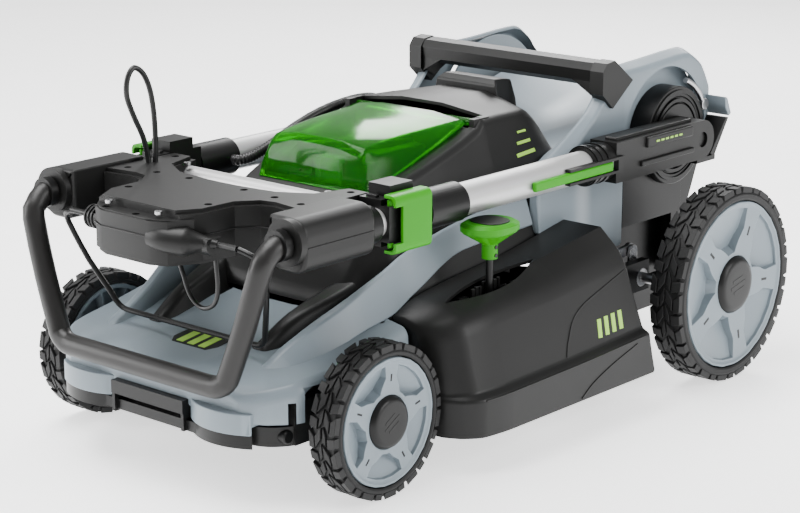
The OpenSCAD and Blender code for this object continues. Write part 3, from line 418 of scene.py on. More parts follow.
def tyre_mesh(name, r, rim_r, w, count):
    """Outer face at x = 0, inner at x = -w."""
    bm = bmesh.new()
    side = 2.2 * MM
    revolve(bm, [(rim_r, -1.5 * MM), (rim_r + 2 * MM, 0), (r - 9 * MM, 0), (r - 6 * MM, -side),
                 (r - 3.4 * MM, -5 * MM), (r - 2.8 * MM, -w / 2), (r - 3.4 * MM, -w + 5 * MM),
                 (r - 6 * MM, -w + side), (r - 9 * MM, -w), (rim_r + 2 * MM, -w),
                 (rim_r, -w + 1.5 * MM)], 144)
    step = 2 * math.pi / count
    for k in range(count):
        a = k * step
        # broad chevron block with a bar inside it, pointing forward, and the shoulder lugs
        for sgn, off in ((1, 0.0), (-1, step / 2)):
            x0 = -w / 2
            def at(u, x):
                return (a + off + u * step, x0 + sgn * x * w / 2)
            block(bm, [at(0.00, 0.06), at(0.36, 0.06), at(0.66, 0.50), at(0.30, 0.50)],
                  (r - 5 * MM, r))
            block(bm, [at(0.30, 0.55), at(0.72, 0.55), at(0.66, 0.96), at(0.12, 0.96)],
                  (r - 7 * MM, r - 0.3 * MM))
            block(bm, [at(0.80, 0.36), at(1.12, 0.36), at(1.04, 0.96), at(0.74, 0.96)],
                  (r - 7 * MM, r - 0.5 * MM))
            block(bm, [at(0.46, 0.04), at(0.88, 0.04), at(1.08, 0.28), at(0.74, 0.28)],
                  (r - 5 * MM, r - 0.4 * MM))
    return mesh_from(bm, name, 30)


def rim_mesh(name, r, hub_r, w):
    """A dished disc with five spokes between sunken five-sided panels."""
    bm = bmesh.new()
    lip, face, floor = -0.5 * MM, -2.2 * MM, -14.0 * MM
    outer_r = r - 0.5 * MM
    pocket_out, pocket_in = r - 9.0 * MM, hub_r + 4.5 * MM

    def half_width(rad):
        """Half the opening angle of a pocket at a radius."""
        t = (rad - pocket_in) / (pocket_out - pocket_in)
        return math.radians(9 + 16.5 * min(1, t * 1.9))

    radii = [hub_r - 1.5 * MM, hub_r, hub_r + 1.5 * MM, pocket_in - 0.6 * MM, pocket_in]
    steps = 9
    radii += [pocket_in + (pocket_out - pocket_in) * i / steps for i in range(1, steps)]
    radii += [pocket_out, pocket_out + 0.6 * MM, r - 6.5 * MM, r - 5 * MM, r - 3.4 * MM,
              r - 1.2 * MM, outer_r]
    # angles: dense at pocket edges, the same on every ring, so walls stay crisp
    wall_w = 0.016
    grid = []
    for rad in radii:
        hw = half_width(max(min(rad, pocket_out), pocket_in))
        row = []
        for s in range(5):
            c = s * math.tau / 5 + math.pi / 2
            ang = [-hw - wall_w, -hw, -hw * 0.5, 0, hw * 0.5, hw, hw + wall_w]
            gap0, gap1 = hw + wall_w, math.tau / 5 - hw - wall_w
            ang += [gap0 + (gap1 - gap0) * q / 4 for q in (1, 2, 3)]
            row += [(c + a, a) for a in ang]
        grid.append((rad, row, hw))
    rings = []
    for rad, row, hw in grid:
        ring = []
        for a, rel in row:
            inside = abs(rel) <= hw + 1e-9 and pocket_in < rad < pocket_out + 0.3 * MM
            x = face
            if rad <= hub_r - 1.0 * MM:
                x = face - 6 * MM
            if rad >= r - 6 * MM:
                x = face + (lip - face) * min(1, (rad - (r - 6 * MM)) / (2.5 * MM))
            if rad >= r - 1.3 * MM:
                x = lip
            if rad >= outer_r:
                x = lip - 1.5 * MM
            if inside:
                t = (rad - pocket_in) / (pocket_out - pocket_in)
                x = floor + 8.0 * MM * t
            ring.append(bm.verts.new((x, rad * math.cos(a), rad * math.sin(a))))
        rings.append(ring)
    for a, b in zip(rings, rings[1:]):
        bridge(bm, a, b)
    # barrel, back face and ribs of the inner side
    prev = rings[-1]
    for rad, x in ((outer_r, -w + 2 * MM), (r - 5 * MM, -w + 2 * MM), (r - 5.5 * MM, -17 * MM),
                   (hub_r + 2 * MM, -17 * MM), (hub_r + 1.5 * MM, -w + 3 * MM),
                   (6.2 * MM, -w + 3 * MM), (6.2 * MM, face - 6.2 * MM)):
        ring = [bm.verts.new((x, rad * math.cos(a), rad * math.sin(a)))
                for a, _ in grid[-1][1]]
        bridge(bm, prev, ring)
        prev = ring
    bridge(bm, prev, rings[0])
    for q in range(10):
        a = q * math.tau / 10
        c, s = math.cos(a), math.sin(a)
        r0, r1, t = hub_r, r - 4 * MM, 1.3 * MM
        vs = []
        for x in (-14 * MM, -w + 6 * MM):
            for rad, e in ((r0, t), (r0, -t), (r1, -t), (r1, t)):
                vs.append(bm.verts.new((x, rad * c - e * s, rad * s + e * c)))
        close_box(bm, vs)
    return mesh_from(bm, name, 28)


def cap_mesh(name, hub_r):
    bm = bmesh.new()
    h = hub_r
    prof = [(0.0001, 2.6), (h * 0.50, 2.6), (h * 0.72, 2.45), (h * 0.80, 2.2), (h * 0.84, 1.7),
            (h * 0.90, 0.9), (h * 0.955, -0.4), (h * 0.985, -1.6), (h * 0.99, -2.5),
            (h * 0.80, -3.2), (0.0001, -3.2)]
    rings = []
    n = 72
    for r, x in prof:
        rings.append([bm.verts.new(((x + 1.1) * MM if x > 0 else x * MM,
                      r * math.cos(math.tau * k / n), r * math.sin(math.tau * k / n)))
                      for k in range(n)])
    for a, b in zip(rings, rings[1:]):
        bridge(bm, a, b)
    return mesh_from(bm, name, 40)


def spoke_slot_shade_mesh(name, r, hub_r):
    """Black boxes on each spoke, painted shade standing in for the dark of its small slot."""
    bm = bmesh.new()
    for s in range(5):
        a = s * math.tau / 5 + math.pi / 2 + math.pi / 5
        mid = (hub_r + r) / 2 - 2 * MM
        u, v = Vector((0, math.cos(a), math.sin(a))), Vector((0, -math.sin(a), math.cos(a)))
        vs = []
        for x in (-2.0 * MM, -3.2 * MM):
            for p, q in ((-1, -1), (1, -1), (1, 1), (-1, 1)):
                vs.append(bm.verts.new(Vector((x, 0, 0)) + u * (mid + p * 0.055 * r)
                                       + v * (q * 0.015 * r)))
        close_box(bm, vs)
    return mesh_from(bm, name)


def mark_mesh(name, hub_r):
    """Plain raised bars on a hub cap, in place of a mark."""
    bm = bmesh.new()
    for k, l in ((-1, 0.5), (0, 0.72), (1, 0.5)):
        vs = []
        for x in (3.65 * MM, 3.95 * MM):
            for p, q in ((-1, -1), (1, -1), (1, 1), (-1, 1)):
                vs.append(bm.verts.new((x, p * l * hub_r * 0.6, (k * 0.2 + q * 0.05) * hub_r)))
        close_box(bm, vs)
    return mesh_from(bm, name)


WHEELS = {"rear": (114, 98, 34, 42, 282, 114, 265, 18, 12),
          "front": (80, 67, 28, 36, -267, 80, 220, 14, 30)}
for end, (r, rr, hr, w, y, z, x, count, turn) in WHEELS.items():
    parts = {"tyre": tyre_mesh(end + "_tyre", r * MM, rr * MM, w * MM, count),
             "rim": rim_mesh(end + "_rim", (rr - 0.4) * MM, hr * MM, w * MM),
             "cap": cap_mesh(end + "_cap", hr * MM)}
    # black boxes on the spokes: painted shade standing in for the spoke slots
    extra = {"slots": spoke_slot_shade_mesh(end + "_slots", rr * MM, hr * MM),
             "mark": mark_mesh(end + "_mark", hr * MM)}
    for side, sx in SIDES:
        where = Matrix.Translation((sx * x * MM, y * MM, z * MM))
        if sx < 0:
            where = where @ Matrix.Diagonal((-1, 1, 1, 1))
        where = where @ Matrix.Rotation(math.radians(turn), 4, "X")
        for kind, me in list(parts.items()) + list(extra.items()):
            me = me.copy()
            me.transform(where)
            if sx < 0:
                me.flip_normals()
            node = f"{kind}_{end}_{side}"
            if kind in parts:
                o = link_obj("fine_" + node, me, M[SLOT[node]])
                if kind == "rim":
                    bevel(o, 0.0006, 2, 28)
                if kind == "tyre":
                    bevel(o, 0.0004, 1, 30)
                weighted(o)
                finish_piece(o, f"wheel_{end}_{side}", [node])
            else:
                # the spoke slot boxes are black painted shade for the slots; the mark bars are plain raised
                # bars
                o = link_obj(f"wheel_{node}", me, M["black_plastic"])
                finish_piece(o, f"wheel_{end}_{side}")


# ---------- shells ----------
def slopes(xs, ys):
    d = [(b - a) / (q - p) for a, b, p, q in zip(ys, ys[1:], xs, xs[1:])]
    return [d[0]] + [0 if p * q <= 0 else 2 * p * q / (p + q) for p, q in zip(d, d[1:])] + [d[-1]]


def even(xs, ys, m, x):
    """Smooth value between stations, without overshoot."""
    i = 0
    while i < len(xs) - 2 and x > xs[i + 1]:
        i += 1
    h = xs[i + 1] - xs[i]
    t = min(1, max(0, (x - xs[i]) / h))
    return ((1 + 2 * t) * (1 - t) ** 2 * ys[i] + t * (1 - t) ** 2 * h * m[i]
            + t * t * (3 - 2 * t) * ys[i + 1] + t * t * (t - 1) * h * m[i + 1])


def rounded(points, radii, closed=False, steps=5):
    """A polyline of (x, z) points with its corners rounded, always with the same count."""
    out, n = [], len(points)
    for i, b in enumerate(points):
        if not closed and i in (0, n - 1):
            out.append(b)
            continue
        a, c = points[i - 1], points[(i + 1) % n]
        u, v = (a[0] - b[0], a[1] - b[1]), (c[0] - b[0], c[1] - b[1])
        lu, lv = math.hypot(*u) or 1e-9, math.hypot(*v) or 1e-9
        t = min(radii[i], 0.48 * lu, 0.48 * lv)
        p = (b[0] + u[0] / lu * t, b[1] + u[1] / lu * t)
        q = (b[0] + v[0] / lv * t, b[1] + v[1] / lv * t)
        for k in range(steps + 1):
            s = k / steps
            out.append(tuple((1 - s) ** 2 * p[j] + 2 * s * (1 - s) * b[j] + s * s * q[j]
                             for j in (0, 1)))
    return out


def mirrored(half):
    return half + [(-x, z) for x, z in reversed(half)]


def inset(ring, d):
    """The ring pulled in by d along its own normals."""
    n, out = len(ring), []
    area = sum(a[0] * b[1] - b[0] * a[1] for a, b in zip(ring, ring[1:] + ring[:1]))
    sg = 1 if area > 0 else -1
    for i, p in enumerate(ring):
        a, b = ring[i - 1], ring[(i + 1) % n]
        tx, tz = b[0] - a[0], b[1] - a[1]
        le = math.hypot(tx, tz) or 1e-9
        out.append((p[0] - sg * tz / le * d, p[1] + sg * tx / le * d))
    return out


def skin(stations, radii, half=True, step=7.0, end=0.0, lean=None, edge=0.0):
    """A smooth solid through stations (y, [(x, z), ...]), rounded off at both ends by edge."""
    ys = [s[0] for s in stations]
    n = len(stations[0][1])
    tracks = []
    for i in range(n):
        pair = []
        for j in (0, 1):
            v = [s[1][i][j] for s in stations]
            pair.append((v, slopes(ys, v)))
        tracks.append(pair)
    y0, y1 = ys[0] + end, ys[-1] - end
    count = max(2, round((y1 - y0) / step))
    samples = sorted({round(y0 + (y1 - y0) * k / count, 3) for k in range(count + 1)}
                     | {y for y in ys if y0 + 2 < y < y1 - 2})
    samples = [y for i, y in enumerate(samples) if i in (0, len(samples) - 1)
               or y in ys or min(abs(y - q) for q in ys) > 1.2]
    if edge:
        arc = [(edge * (1 - math.cos(a)), edge * (1 - math.sin(a)))
               for a in (0, 0.35, 0.7, 1.05, 1.4, math.pi / 2)]
        front = [(y0 + dy, d) for dy, d in arc]
        rear = [(y1 - dy, d) for dy, d in reversed(arc)]
        samples = (front + [(y, 0) for y in samples if y0 + edge * 1.2 < y < y1 - edge * 1.2]
                   + rear)
    else:
        samples = [(y, 0) for y in samples]
    rings = []
    for y, d in samples:
        pts = [tuple(even(ys, v, m, y) for v, m in pair) for pair in tracks]
        line = rounded(pts, radii, closed=not half)
        ring = mirrored(line) if half else line
        if d:
            ring = inset(ring, d)
        k = lean(y) if lean else 0
        rings.append([(x, y - k * z, z) for x, z in ring])
    return body_from(rings)


def block_box(lo, hi):
    return body_from([[(lo[0], lo[1], lo[2]), (hi[0], lo[1], lo[2]), (hi[0], lo[1], hi[2]),
                       (lo[0], lo[1], hi[2])],
                      [(lo[0], hi[1], lo[2]), (hi[0], hi[1], lo[2]), (hi[0], hi[1], hi[2]),
                       (lo[0], hi[1], hi[2])]])


def side_box(sx, lo, hi):
    """The box as it stands on the left, or its mirror image where sx is -1."""
    return block_box(lo, hi) if sx > 0 else block_box((-hi[0], *lo[1:]), (-lo[0], *hi[1:]))


def pair_box(lo, hi):
    return [side_box(1, lo, hi), side_box(-1, lo, hi)]


def both_ends(sx, x0, x1):
    return sorted((sx * x0, sx * x1))


def thinner(stations, d):
    """The stations pulled in by d toward the middle and the ground, for an inner skin."""
    return [(y, [(a - d, b - d) for a, b in p]) for y, p in stations]


def disc(axis, p0, p1, u, v, r, n=96):
    """A cylinder from p0 to p1 along axis 0, 1 or 2; u and v are the other two coordinates."""
    rings = []
    for p in (p0, p1):
        ring = []
        for k in range(n):
            a, b = u + r * math.cos(math.tau * k / n), v + r * math.sin(math.tau * k / n)
            ring.append([(p, a, b), (a, p, b), (a, b, p)][axis])
        rings.append(ring)
    return body_from(rings)


def plate(axis, p0, p1, outline):
    """A prism of an outline in the other two coordinates."""
    return body_from([[[(p, a, b), (a, p, b), (a, b, p)][axis] for a, b in outline]
                      for p in (p0, p1)])


def rail(stations, radii, edge):
    """A solid through closed rings (y, [(x, z), ...]), on both sides of the machine."""
    return [skin([(y, [(sx * x, z) for x, z in r]) for y, r in stations], radii, half=False,
                 edge=edge) for sx in (1, -1)]


def carve(o, tools, op="DIFFERENCE"):
    for t in tools:
        m = o.modifiers.new("cut", "BOOLEAN")
        m.object = t
        m.operation = op
        m.solver = "MANIFOLD"
    me = bpy.data.meshes.new_from_object(o.evaluated_get(bpy.context.evaluated_depsgraph_get()))
    o.modifiers.clear()
    o.data = me
    for t in tools:
        bpy.data.objects.remove(t)
    return o


def dress(o, name, node, replaces=(), angle=30):
    """Weld a carved solid, give it its node's material and let it ride its node's body."""
    o.name = name
    me = o.data
    bm = bmesh.new()
    bm.from_mesh(me)
    bmesh.ops.remove_doubles(bm, verts=bm.verts, dist=4e-6)
    bm.to_mesh(me)
    bm.free()
    me.materials.clear()
    me.materials.append(M[SLOT[node]])
    smooth(me, angle)
    weighted(o)
    return finish_piece(o, BODY[node], replaces)


WALL = 3.5
# deck: smooth middle, narrow front tray, round chamber
deck_stations = [
    (-184, [(206, 40), (206, 78), (197, 83), (186, 148), (158, 156)]),
    (-172, [(232, 40), (232, 79), (223, 84), (206, 152), (174, 162)]),
    (-150, [(248, 40), (248, 80), (239, 85), (220, 157), (188, 170)]),
    (-110, [(252, 40), (252, 81), (243, 86), (224, 161), (192, 176)]),
    (0, [(252, 40), (252, 83), (243, 88), (225, 168), (194, 188)]),
    (152, [(252, 40), (252, 88), (243, 93), (226, 178), (200, 206)])]
deck_lean = lambda y: 0.22 * max(0, y) / 152
deck = skin(deck_stations, [0, 3.5, 3, 16, 10], step=6, lean=deck_lean, edge=4)
inner = skin([(y, [(p[0][0] - WALL, 34)] + [(a - WALL, b - WALL) for a, b in p[1:]])
              for y, p in deck_stations], [0, 3, 3, 14, 8], step=12, lean=deck_lean, end=WALL)
opening = plate(2, 35, 55, mirrored([(201, -176), (226, -166), (242, -147), (247.8, -109),
                                     (247.8, 134)]))
carve(deck, [inner, opening])
tray_line = [(166, -175), (166, -345), (148, -368), (110, -376), (-110, -376), (-148, -368),
             (-166, -345), (-166, -175)]
tray = plate(2, 64, 84, rounded(tray_line, [0, 12, 14, 14, 14, 14, 12, 0], True))
carve(tray, [plate(2, 63, 81, [(x * 0.979, y + (3.5 if y < -300 else 0)) for x, y in tray_line])])
carve(deck, [tray, *pair_box((155, -345, 64), (166, -190, 108)),
             disc(2, 40, 82, 0, -5, 250.5)], "UNION")
slot_a = disc(2, 120, 210, 190 - 172, -74, 186)
carve(slot_a, [disc(2, 120, 210, 190 + 198, -74, 212)], "INTERSECT")
carve(deck, [disc(2, 39, 78, 0, -5, 247), block_box((-150, -190, 124), (150, 160, 230)),
             disc(2, 73, 93, 0, -5, 26, 48), block_box((-110, 150, 39), (110, 260, 72)), slot_a,
             disc(0, 140, 180, -312, 80, 11, 40), disc(0, -180, -140, -312, 80, 11, 40),
             block_box((-153.5, -325, 60), (153.5, -299, 93)),
             block_box((138, -192, 101), (154, -165, 140))])
dress(deck, "fine_deck_shell", "deck_shell", ["deck_shell"])

# nose cover: crisp fender edges and a dished middle panel
nose_stations = [
    (-381, [(128, 88), (128, 105), (122, 113), (92, 120), (50, 121), (20, 119)]),
    (-366, [(150, 87), (150, 111), (144, 119), (100, 126), (52, 127), (22, 124.5)]),
    (-340, [(170, 87), (170, 118), (164, 126), (110, 130), (54, 131), (24, 128)]),
    (-290, [(176, 88), (176, 125), (170, 133), (116, 136), (56, 137), (26, 134)]),
    (-230, [(178, 96), (178, 136), (172, 144), (126, 150), (60, 150), (28, 147)]),
    (-186, [(176, 112), (176, 144), (170, 152), (138, 158), (64, 158), (30, 156)])]
nose = skin(nose_stations, [0, 5, 5, 14, 5, 18], step=6, edge=5)
inner = skin(thinner(nose_stations, WALL), [0, 5, 5, 12, 5, 18], step=12, end=WALL)
carve(nose, [inner, block_box((-200, -400, 60), (200, -150, 84.4)),
             *pair_box((150, -352, 60), (168, -180, 108.4)),
             *pair_box((167.5, -336, 60), (200, -236, 122)),
             block_box((-53.4, -400, 60), (53.4, -370, 96.4)),
             block_box((-150, -200, 100), (150, -180, 154)),
             block_box((-126, -207, 100), (126, -180, 172)),
             *pair_box((58, -228, 140), (124, -180, 172))])
dress(nose, "fine_nose_cover", "nose_cover", ["nose_cover"])
for side, sx in SIDES:
    o = side_box(sx, (54, -392, 76), (138, -376.4, 98))
    carve(o, [side_box(sx, (54, -378, 84.4), (138, -360, 98))], "UNION")
    carve(o, [disc(2, 70, 110, sx * 96, -318, 74)], "INTERSECT")
    bevel(o, 0.0018, 3, 40)
    dress(o, "bumper_nub_" + side, "nose_cover", angle=40)
wing = [(-345, [(134, 118), (116, 124), (108, 124), (104, 118)]),
        (-315, [(138, 128), (118, 142), (110, 142), (106, 126)]),
        (-280, [(143, 134), (124, 158), (114, 158), (110, 132)]),
        (-220, [(148, 150), (138, 186), (128, 186), (122, 148)]),
        (-178, [(149, 158), (138, 202), (131, 202), (131, 156)]),
        (-150, [(149, 172), (135, 212), (130, 212), (145, 170)]),
        (-60, [(143, 202), (134, 230), (129, 230), (138.4, 200)]),
        (56, [(145, 208), (133, 242), (128, 242), (140.6, 206)])]
for o, s in zip(rail(wing, [2, 3, 3, 2], 2), ("left", "right")):
    dress(o, "side_wing_" + s, "nose_cover")

# motor hood
hood_stations = [
    (-206, [(98, 152), (94, 158), (90, 162), (85, 167), (30, 166)]),
    (-184, [(124, 154), (112, 186), (98, 196), (93, 201), (30, 200)]),
    (-150, [(143, 160), (128, 210), (99, 257), (94, 262), (30, 263)]),
    (-60, [(147, 172), (128, 228), (103, 287), (98, 292), (30, 293)]),
    (14, [(147, 184), (127, 238), (102, 312), (97, 317), (30, 318)]),
    (24, [(147, 185), (127, 239), (100, 320), (95, 325), (30, 331)]),
    (100, [(143, 192), (125, 248), (94, 318), (89, 323), (30, 336)]),
    (136, [(137, 196), (120, 252), (86, 300), (81, 305), (30, 326)]),
    (170, [(128, 200), (108, 246), (74, 268), (69, 273), (30, 282)])]
hood = skin(hood_stations, [0, 14, 5, 5, 26], step=6, edge=6)
inner = skin(thinner(hood_stations, WALL), [0, 12, 4, 4, 24], step=12, end=WALL)
low = body_from([[(88, -192, 120), (88, -192, 154), (-88, -192, 154), (-88, -192, 120)],
                 [(138, -150, 120), (138, -150, 166), (-138, -150, 166), (-138, -150, 120)],
                 [(124, 178, 120), (124, 178, 205), (-124, 178, 205), (-124, 178, 120)]])
bay = plate(2, 200, 345, rounded([(-78, -137), (78, -137), (78, 10), (-78, 10)],
                                 [8, 8, 4, 4], True))
carve(hood, [inner, block_box((-200, -210, 120), (200, 200, 151)), low, bay,
             block_box((-88, 10, 306), (88, 36, 345))])
dress(hood, "fine_motor_hood", "motor_hood", ["motor_hood"])
well = block_box((-81, -140, 196), (81, 13, 330))
carve(well, [block_box((-77.5, -136.5, 199.5), (77.5, 9.5, 340))])
carve(well, [skin(thinner(hood_stations, 1.5), [0, 12, 4, 4, 24], step=12, end=1.5)],
      "INTERSECT")
dress(well, "battery_well", "motor_hood")
dress(block_box((-64, 11, 205), (64, 124, 210)), "controller_shelf", "motor_hood")
for s, sx in SIDES:
    for k in range(7):
        y = -122 + k * 20
        o = side_box(sx, (74.3, y, 205), (77.3, y + 3, 262))
        bevel(o, 0.0008, 2, 40)
        dress(o, f"well_rib_{s}_{k}", "motor_hood", angle=40)
    o = side_box(sx, (88.4, 12, 300), (95, 38, 325))
    carve(o, [disc(0, -105, 105, 26, 318, 3.05, 24)])
    dress(o, "lid_ear_" + s, "motor_hood")
ridge = [(-306, [(92, 128), (82, 138), (70, 138), (62, 128)]),
         (-260, [(104, 136), (90, 163), (72, 163), (62, 136)]),
         (-205, [(116, 148), (102, 180), (76, 180), (64, 148)]),
         (-176, [(120, 158), (106, 190), (92, 190), (84, 159)])]
for o, s in zip(rail(ridge, [2, 7, 7, 2], 3), ("left", "right")):
    dress(o, "hood_ridge_" + s, "motor_hood")
tab = skin([(112, [(48, 322), (44, 342)]), (120, [(42, 322), (38, 348)]),
            (150, [(40, 300), (36, 344)]), (156, [(44, 296), (40, 318)])], [0, 0], step=6)
bevel(tab, 0.002, 3, 30)
dress(tab, "rear_tab", "motor_hood")

# rear body with shoulders, arches and ledge
rear_stations = [
    (60, [(149, 196), (148, 240), (143, 252), (135, 256), (109, 257), (20, 258)]),
    (120, [(149, 172), (148, 246), (143, 276), (130, 286), (104, 267.8), (20, 260)]),
    (170, [(140, 150), (140, 256), (140, 306), (126, 314), (100, 269.2), (20, 250)]),
    (222, [(140, 150), (140, 266), (140, 352), (124, 361), (98, 295.9), (20, 268)]),
    (270, [(140, 206), (140, 270), (140, 354), (122, 363), (96, 307.7), (20, 284)]),
    (353, [(140, 206), (140, 270), (140, 358), (122, 367), (96, 320.1), (20, 300)]),
    (384, [(140, 232), (140, 270), (140, 344), (124, 351), (98, 317.4), (20, 303)]),
    (405, [(140, 262), (140, 280), (140, 312), (124, 318), (98, 304), (20, 298)])]
rear = skin(rear_stations, [0, 20, 5, 5, 22, 30], step=6, edge=4)
inner = skin(thinner(rear_stations, WALL), [0, 20, 4, 4, 22, 30], step=12, end=WALL)
room = body_from([[(x, y, z) for x, z in mirrored([(a, 180), (b, 252), (c, 300), (c - 20, 350)])]
                  for y, a, b, c in ((50, 145, 131, 108), (100, 145, 129, 104),
                                     (137, 143, 124, 98), (171, 136, 114, 86))])
carve(rear, [inner, block_box((-136, 55, 190), (136, 379, 236)),
             block_box((-136, 300, 190), (136, 420, 262)), room,
             disc(0, 122, 160, 312, 266, 83), disc(0, -160, -122, 312, 266, 83),
             *pair_box((122, 229, 140), (160, 395, 266))])
dress(rear, "fine_rear_shell", "rear_shell", ["rear_shell"])
for s, sx in SIDES:
    o = disc(0, *both_ends(sx, 118, 121.6), 312, 266, 93)
    carve(o, [side_box(sx, (100, 200, 150), (130, 420, 240)),
              side_box(sx, (100, 382, 235), (130, 420, 266))])
    dress(o, "arch_wall_" + s, "rear_shell")
    o = plate(0, *both_ends(sx, 138, 168),
              rounded([(396, 305), (401, 303), (410, 283), (405, 280), (397, 292)],
                      [2, 2, 2, 2, 3], True, 3))
    bevel(o, 0.001, 2, 50)
    dress(o, "ledge_" + s, "rear_shell")
o = plate(0, -140, 140, rounded([(398, 301), (403, 299), (410, 283), (405, 280), (398, 290)],
                                [2, 2, 2, 2, 3], True, 3))
dress(o, "ledge_middle", "rear_shell")

# clear lid
def lid_foot(y):
    return 265.6 + (y + 147) * 0.338


lid_stations = []
for y, z, w, top in ((-147, 271, 77, 68), (-143, 294, 79, 67), (-131, 311, 81, 66),
                     (-70, 318, 84, 70), (-10, 321, 84, 74), (12, 322.5, 83, 76)):
    f = lid_foot(y)
    lid_stations.append((y, [(w, f), (w * 0.7 + top * 0.3, f * 0.5 + z * 0.5), (top, z),
                             (top * 0.5, z + 5)]))
lid = skin(lid_stations, [0, 12, 4, 30], step=5, edge=0)
LID_WALL = 3
lid_inside = []
for i, (y, p) in enumerate(lid_stations):
    (foot, f), *sides, (middle, crown) = p
    lid_inside.append((min(max(y, -144 + 0.5 * i), 9),
                       [(foot - LID_WALL, f - 12)] + [(a - LID_WALL, b - LID_WALL)
                                                      for a, b in sides]
                       + [(middle, crown - LID_WALL)]))
inner = skin(lid_inside, [0, 11, 3, 30], step=7)
carve(lid, [inner])
carve(lid, [*pair_box((58, 7, 316.2), (74, 27, 320.6)), disc(0, -87, 87, 26, 318, 4.5, 32),
            disc(0, -94, 94, 26, 318, 3, 32)], "UNION")
dress(lid, "fine_battery_lid", "battery_lid", ["battery_lid"])

# ---------- surface details ----------
def on_skin(stations, i, y, t, lift=0.0, lean=0.0):
    """A point on the flat between corners i and i + 1, at share t, in mm."""
    ys = [q[0] for q in stations]
    c = []
    for k in (i, i + 1):
        c.append([even(ys, v, slopes(ys, v), y) for v in
                  ([q[1][k][0] for q in stations], [q[1][k][1] for q in stations])])
    x, z = c[0][0] + (c[1][0] - c[0][0]) * t, c[0][1] + (c[1][1] - c[0][1]) * t
    nx, nz = c[1][1] - c[0][1], -(c[1][0] - c[0][0])
    le = math.hypot(nx, nz)
    x, z = x + nx / le * lift, z + nz / le * lift
    return Vector((x, y - (lean(y) if lean else 0) * z, z))


def strip(name, stations, i, path, width, height, mat, lean=None, side=1, node=None):
    """A raised line of that width and height along path, (y, share) points on one flat."""
    pts = catmull([[a, b, 0] for a, b in path], 6) if len(path) > 2 else \
        [[path[0][j] + (path[1][j] - path[0][j]) * k / 8 for j in (0, 1)] for k in range(9)]
    base = [on_skin(stations, i, q[0], q[1], 0, lean) for q in pts]
    top = [on_skin(stations, i, q[0], q[1], height, lean) for q in pts]
    low = [on_skin(stations, i, q[0], q[1], -0.6, lean) for q in pts]
    rings = []
    for k in range(len(base)):
        d = (base[min(k + 1, len(base) - 1)] - base[max(k - 1, 0)]).normalized()
        n = (top[k] - low[k]).normalized()
        w = d.cross(n).normalized() * width / 2
        taper = 0.75
        ring = [low[k] - w, low[k] + w, top[k] + w * taper, top[k] - w * taper]
        rings.append([(side * q[0], q[1], q[2]) for q in ring])
    o = body_from(rings, name)
    o.name = name
    o.data.materials.append(mat)
    smooth(o.data, 40)
    return finish_piece(o, BODY[node])


def piece(o, name, body, slot, width=0.0012, seg=3, mat=None):
    """A small bevelled part that rides a body."""
    o.name = name
    o.data.materials.clear()
    o.data.materials.append(mat or M[slot])
    smooth(o.data, 40)
    if width:
        bevel(o, width, seg, 35)
    weighted(o)
    return finish_piece(o, body)


for side, sx in SIDES:
    # plain bars on the hood flank and on the deck side, in place of marks
    for k, (a, b) in enumerate(((0.42, 0.50), (0.58, 0.66), (0.74, 0.80))):
        strip(f"hood_bar_{side}_{k}", hood_stations, 1, [(66 + 6 * k, (a + b) / 2),
              (100 - 3 * k, (a + b) / 2)], 5 - k, 0.5, brand_green, side=sx, node="motor_hood")
    for k in range(4):
        strip(f"deck_bar_{side}_{k}", deck_stations, 2, [(62 + k * 15, 0.10), (66 + k * 15, 0.34)],
              8, 0.5, brand_green, lean=deck_lean, side=sx, node="deck_shell")
    # moulded lines of the deck side
    for name, flat, path, width, height in (
            ("deck_line", 2, [(146, 0.80), (96, 0.71), (42, 0.60), (14, 0.46), (-2, 0.22),
                              (-8, 0.03)], 2.4, 0.9),
            ("skirt_line", 0, [(122, 0.86), (70, 0.62), (30, 0.34), (8, 0.06)], 2.4, 0.9),
            ("skirt_edge", 0, [(-150, 0.97), (-60, 0.97), (40, 0.97), (140, 0.97)], 2.0, 0.8)):
        strip(f"{name}_{side}", deck_stations, flat, path, width, height, M["dark_plastic"],
              lean=deck_lean, side=sx, node="deck_shell")

# toothed bed of the lever slot
random.seed(4)
bm = bmesh.new()
for ix in range(7):
    for iy in range(24):
        x, y = 178 + ix * 4.2, -142 + iy * 6.0
        if math.hypot(x - 18, y + 74) > 181 or math.hypot(x - 388, y + 74) > 207:
            continue
        if 183.5 < x < 195.5:
            continue
        z = 173 + (y + 55) * 0.11 - max(0, x - 193) * 0.555 + random.uniform(-2, 2)
        m = Matrix.Translation((x * MM, y * MM, z * MM)) @ Matrix.Rotation(
            random.uniform(-0.3, 0.3), 4, "Z") @ Matrix.Diagonal((0.0034, 0.0044, 0.011, 1))
        bmesh.ops.create_cube(bm, size=1.0, matrix=m)
me = bpy.data.meshes.new("slot_teeth")
bm.to_mesh(me)
bm.free()
bed = disc(2, 157, 160, 18, -74, 184.5)
carve(bed, [disc(2, 140, 170, 388, -74, 210.5)], "INTERSECT")
carve(bed, [block_box((184, -117, 140), (194, -33, 170))])
piece(bed, "slot_bed", "chassis", "dark_plastic", 0)
piece(plate(1, 0.5, 3.5, [(156, 150), (156, 174), (192, 179), (204, 173), (204, 150)]),
      "slot_end_wall", "chassis", "dark_plastic", 0)
o = link_obj("slot_teeth", me, M["dark_plastic"])
bevel(o, 0.0006, 2, 40)
finish_piece(o, "chassis")

# badge on the nose: a plain plate with bars
def slab_end(x0, x1, y, z, height):
    return [(x0, y, z), (x1, y, z), (x1, y, z + height), (x0, y, z + height)]


piece(body_from([slab_end(-34, 34, -330, 127, 2.2), slab_end(-30, 30, -296, 133, 2.2)]),
      "nose_badge", "chassis", "black_plastic", 0.0008)
for k in range(-1, 2):
    o = body_from([slab_end(16 * k - 6, 16 * k + 4, -326, 129.4, 0.9),
                   slab_end(16 * k - 4, 16 * k + 6, -300, 134, 0.9)])
    piece(o, f"nose_badge_bar_{k + 1}", "chassis", "green_plastic", 0.0003, 1, brand_green)

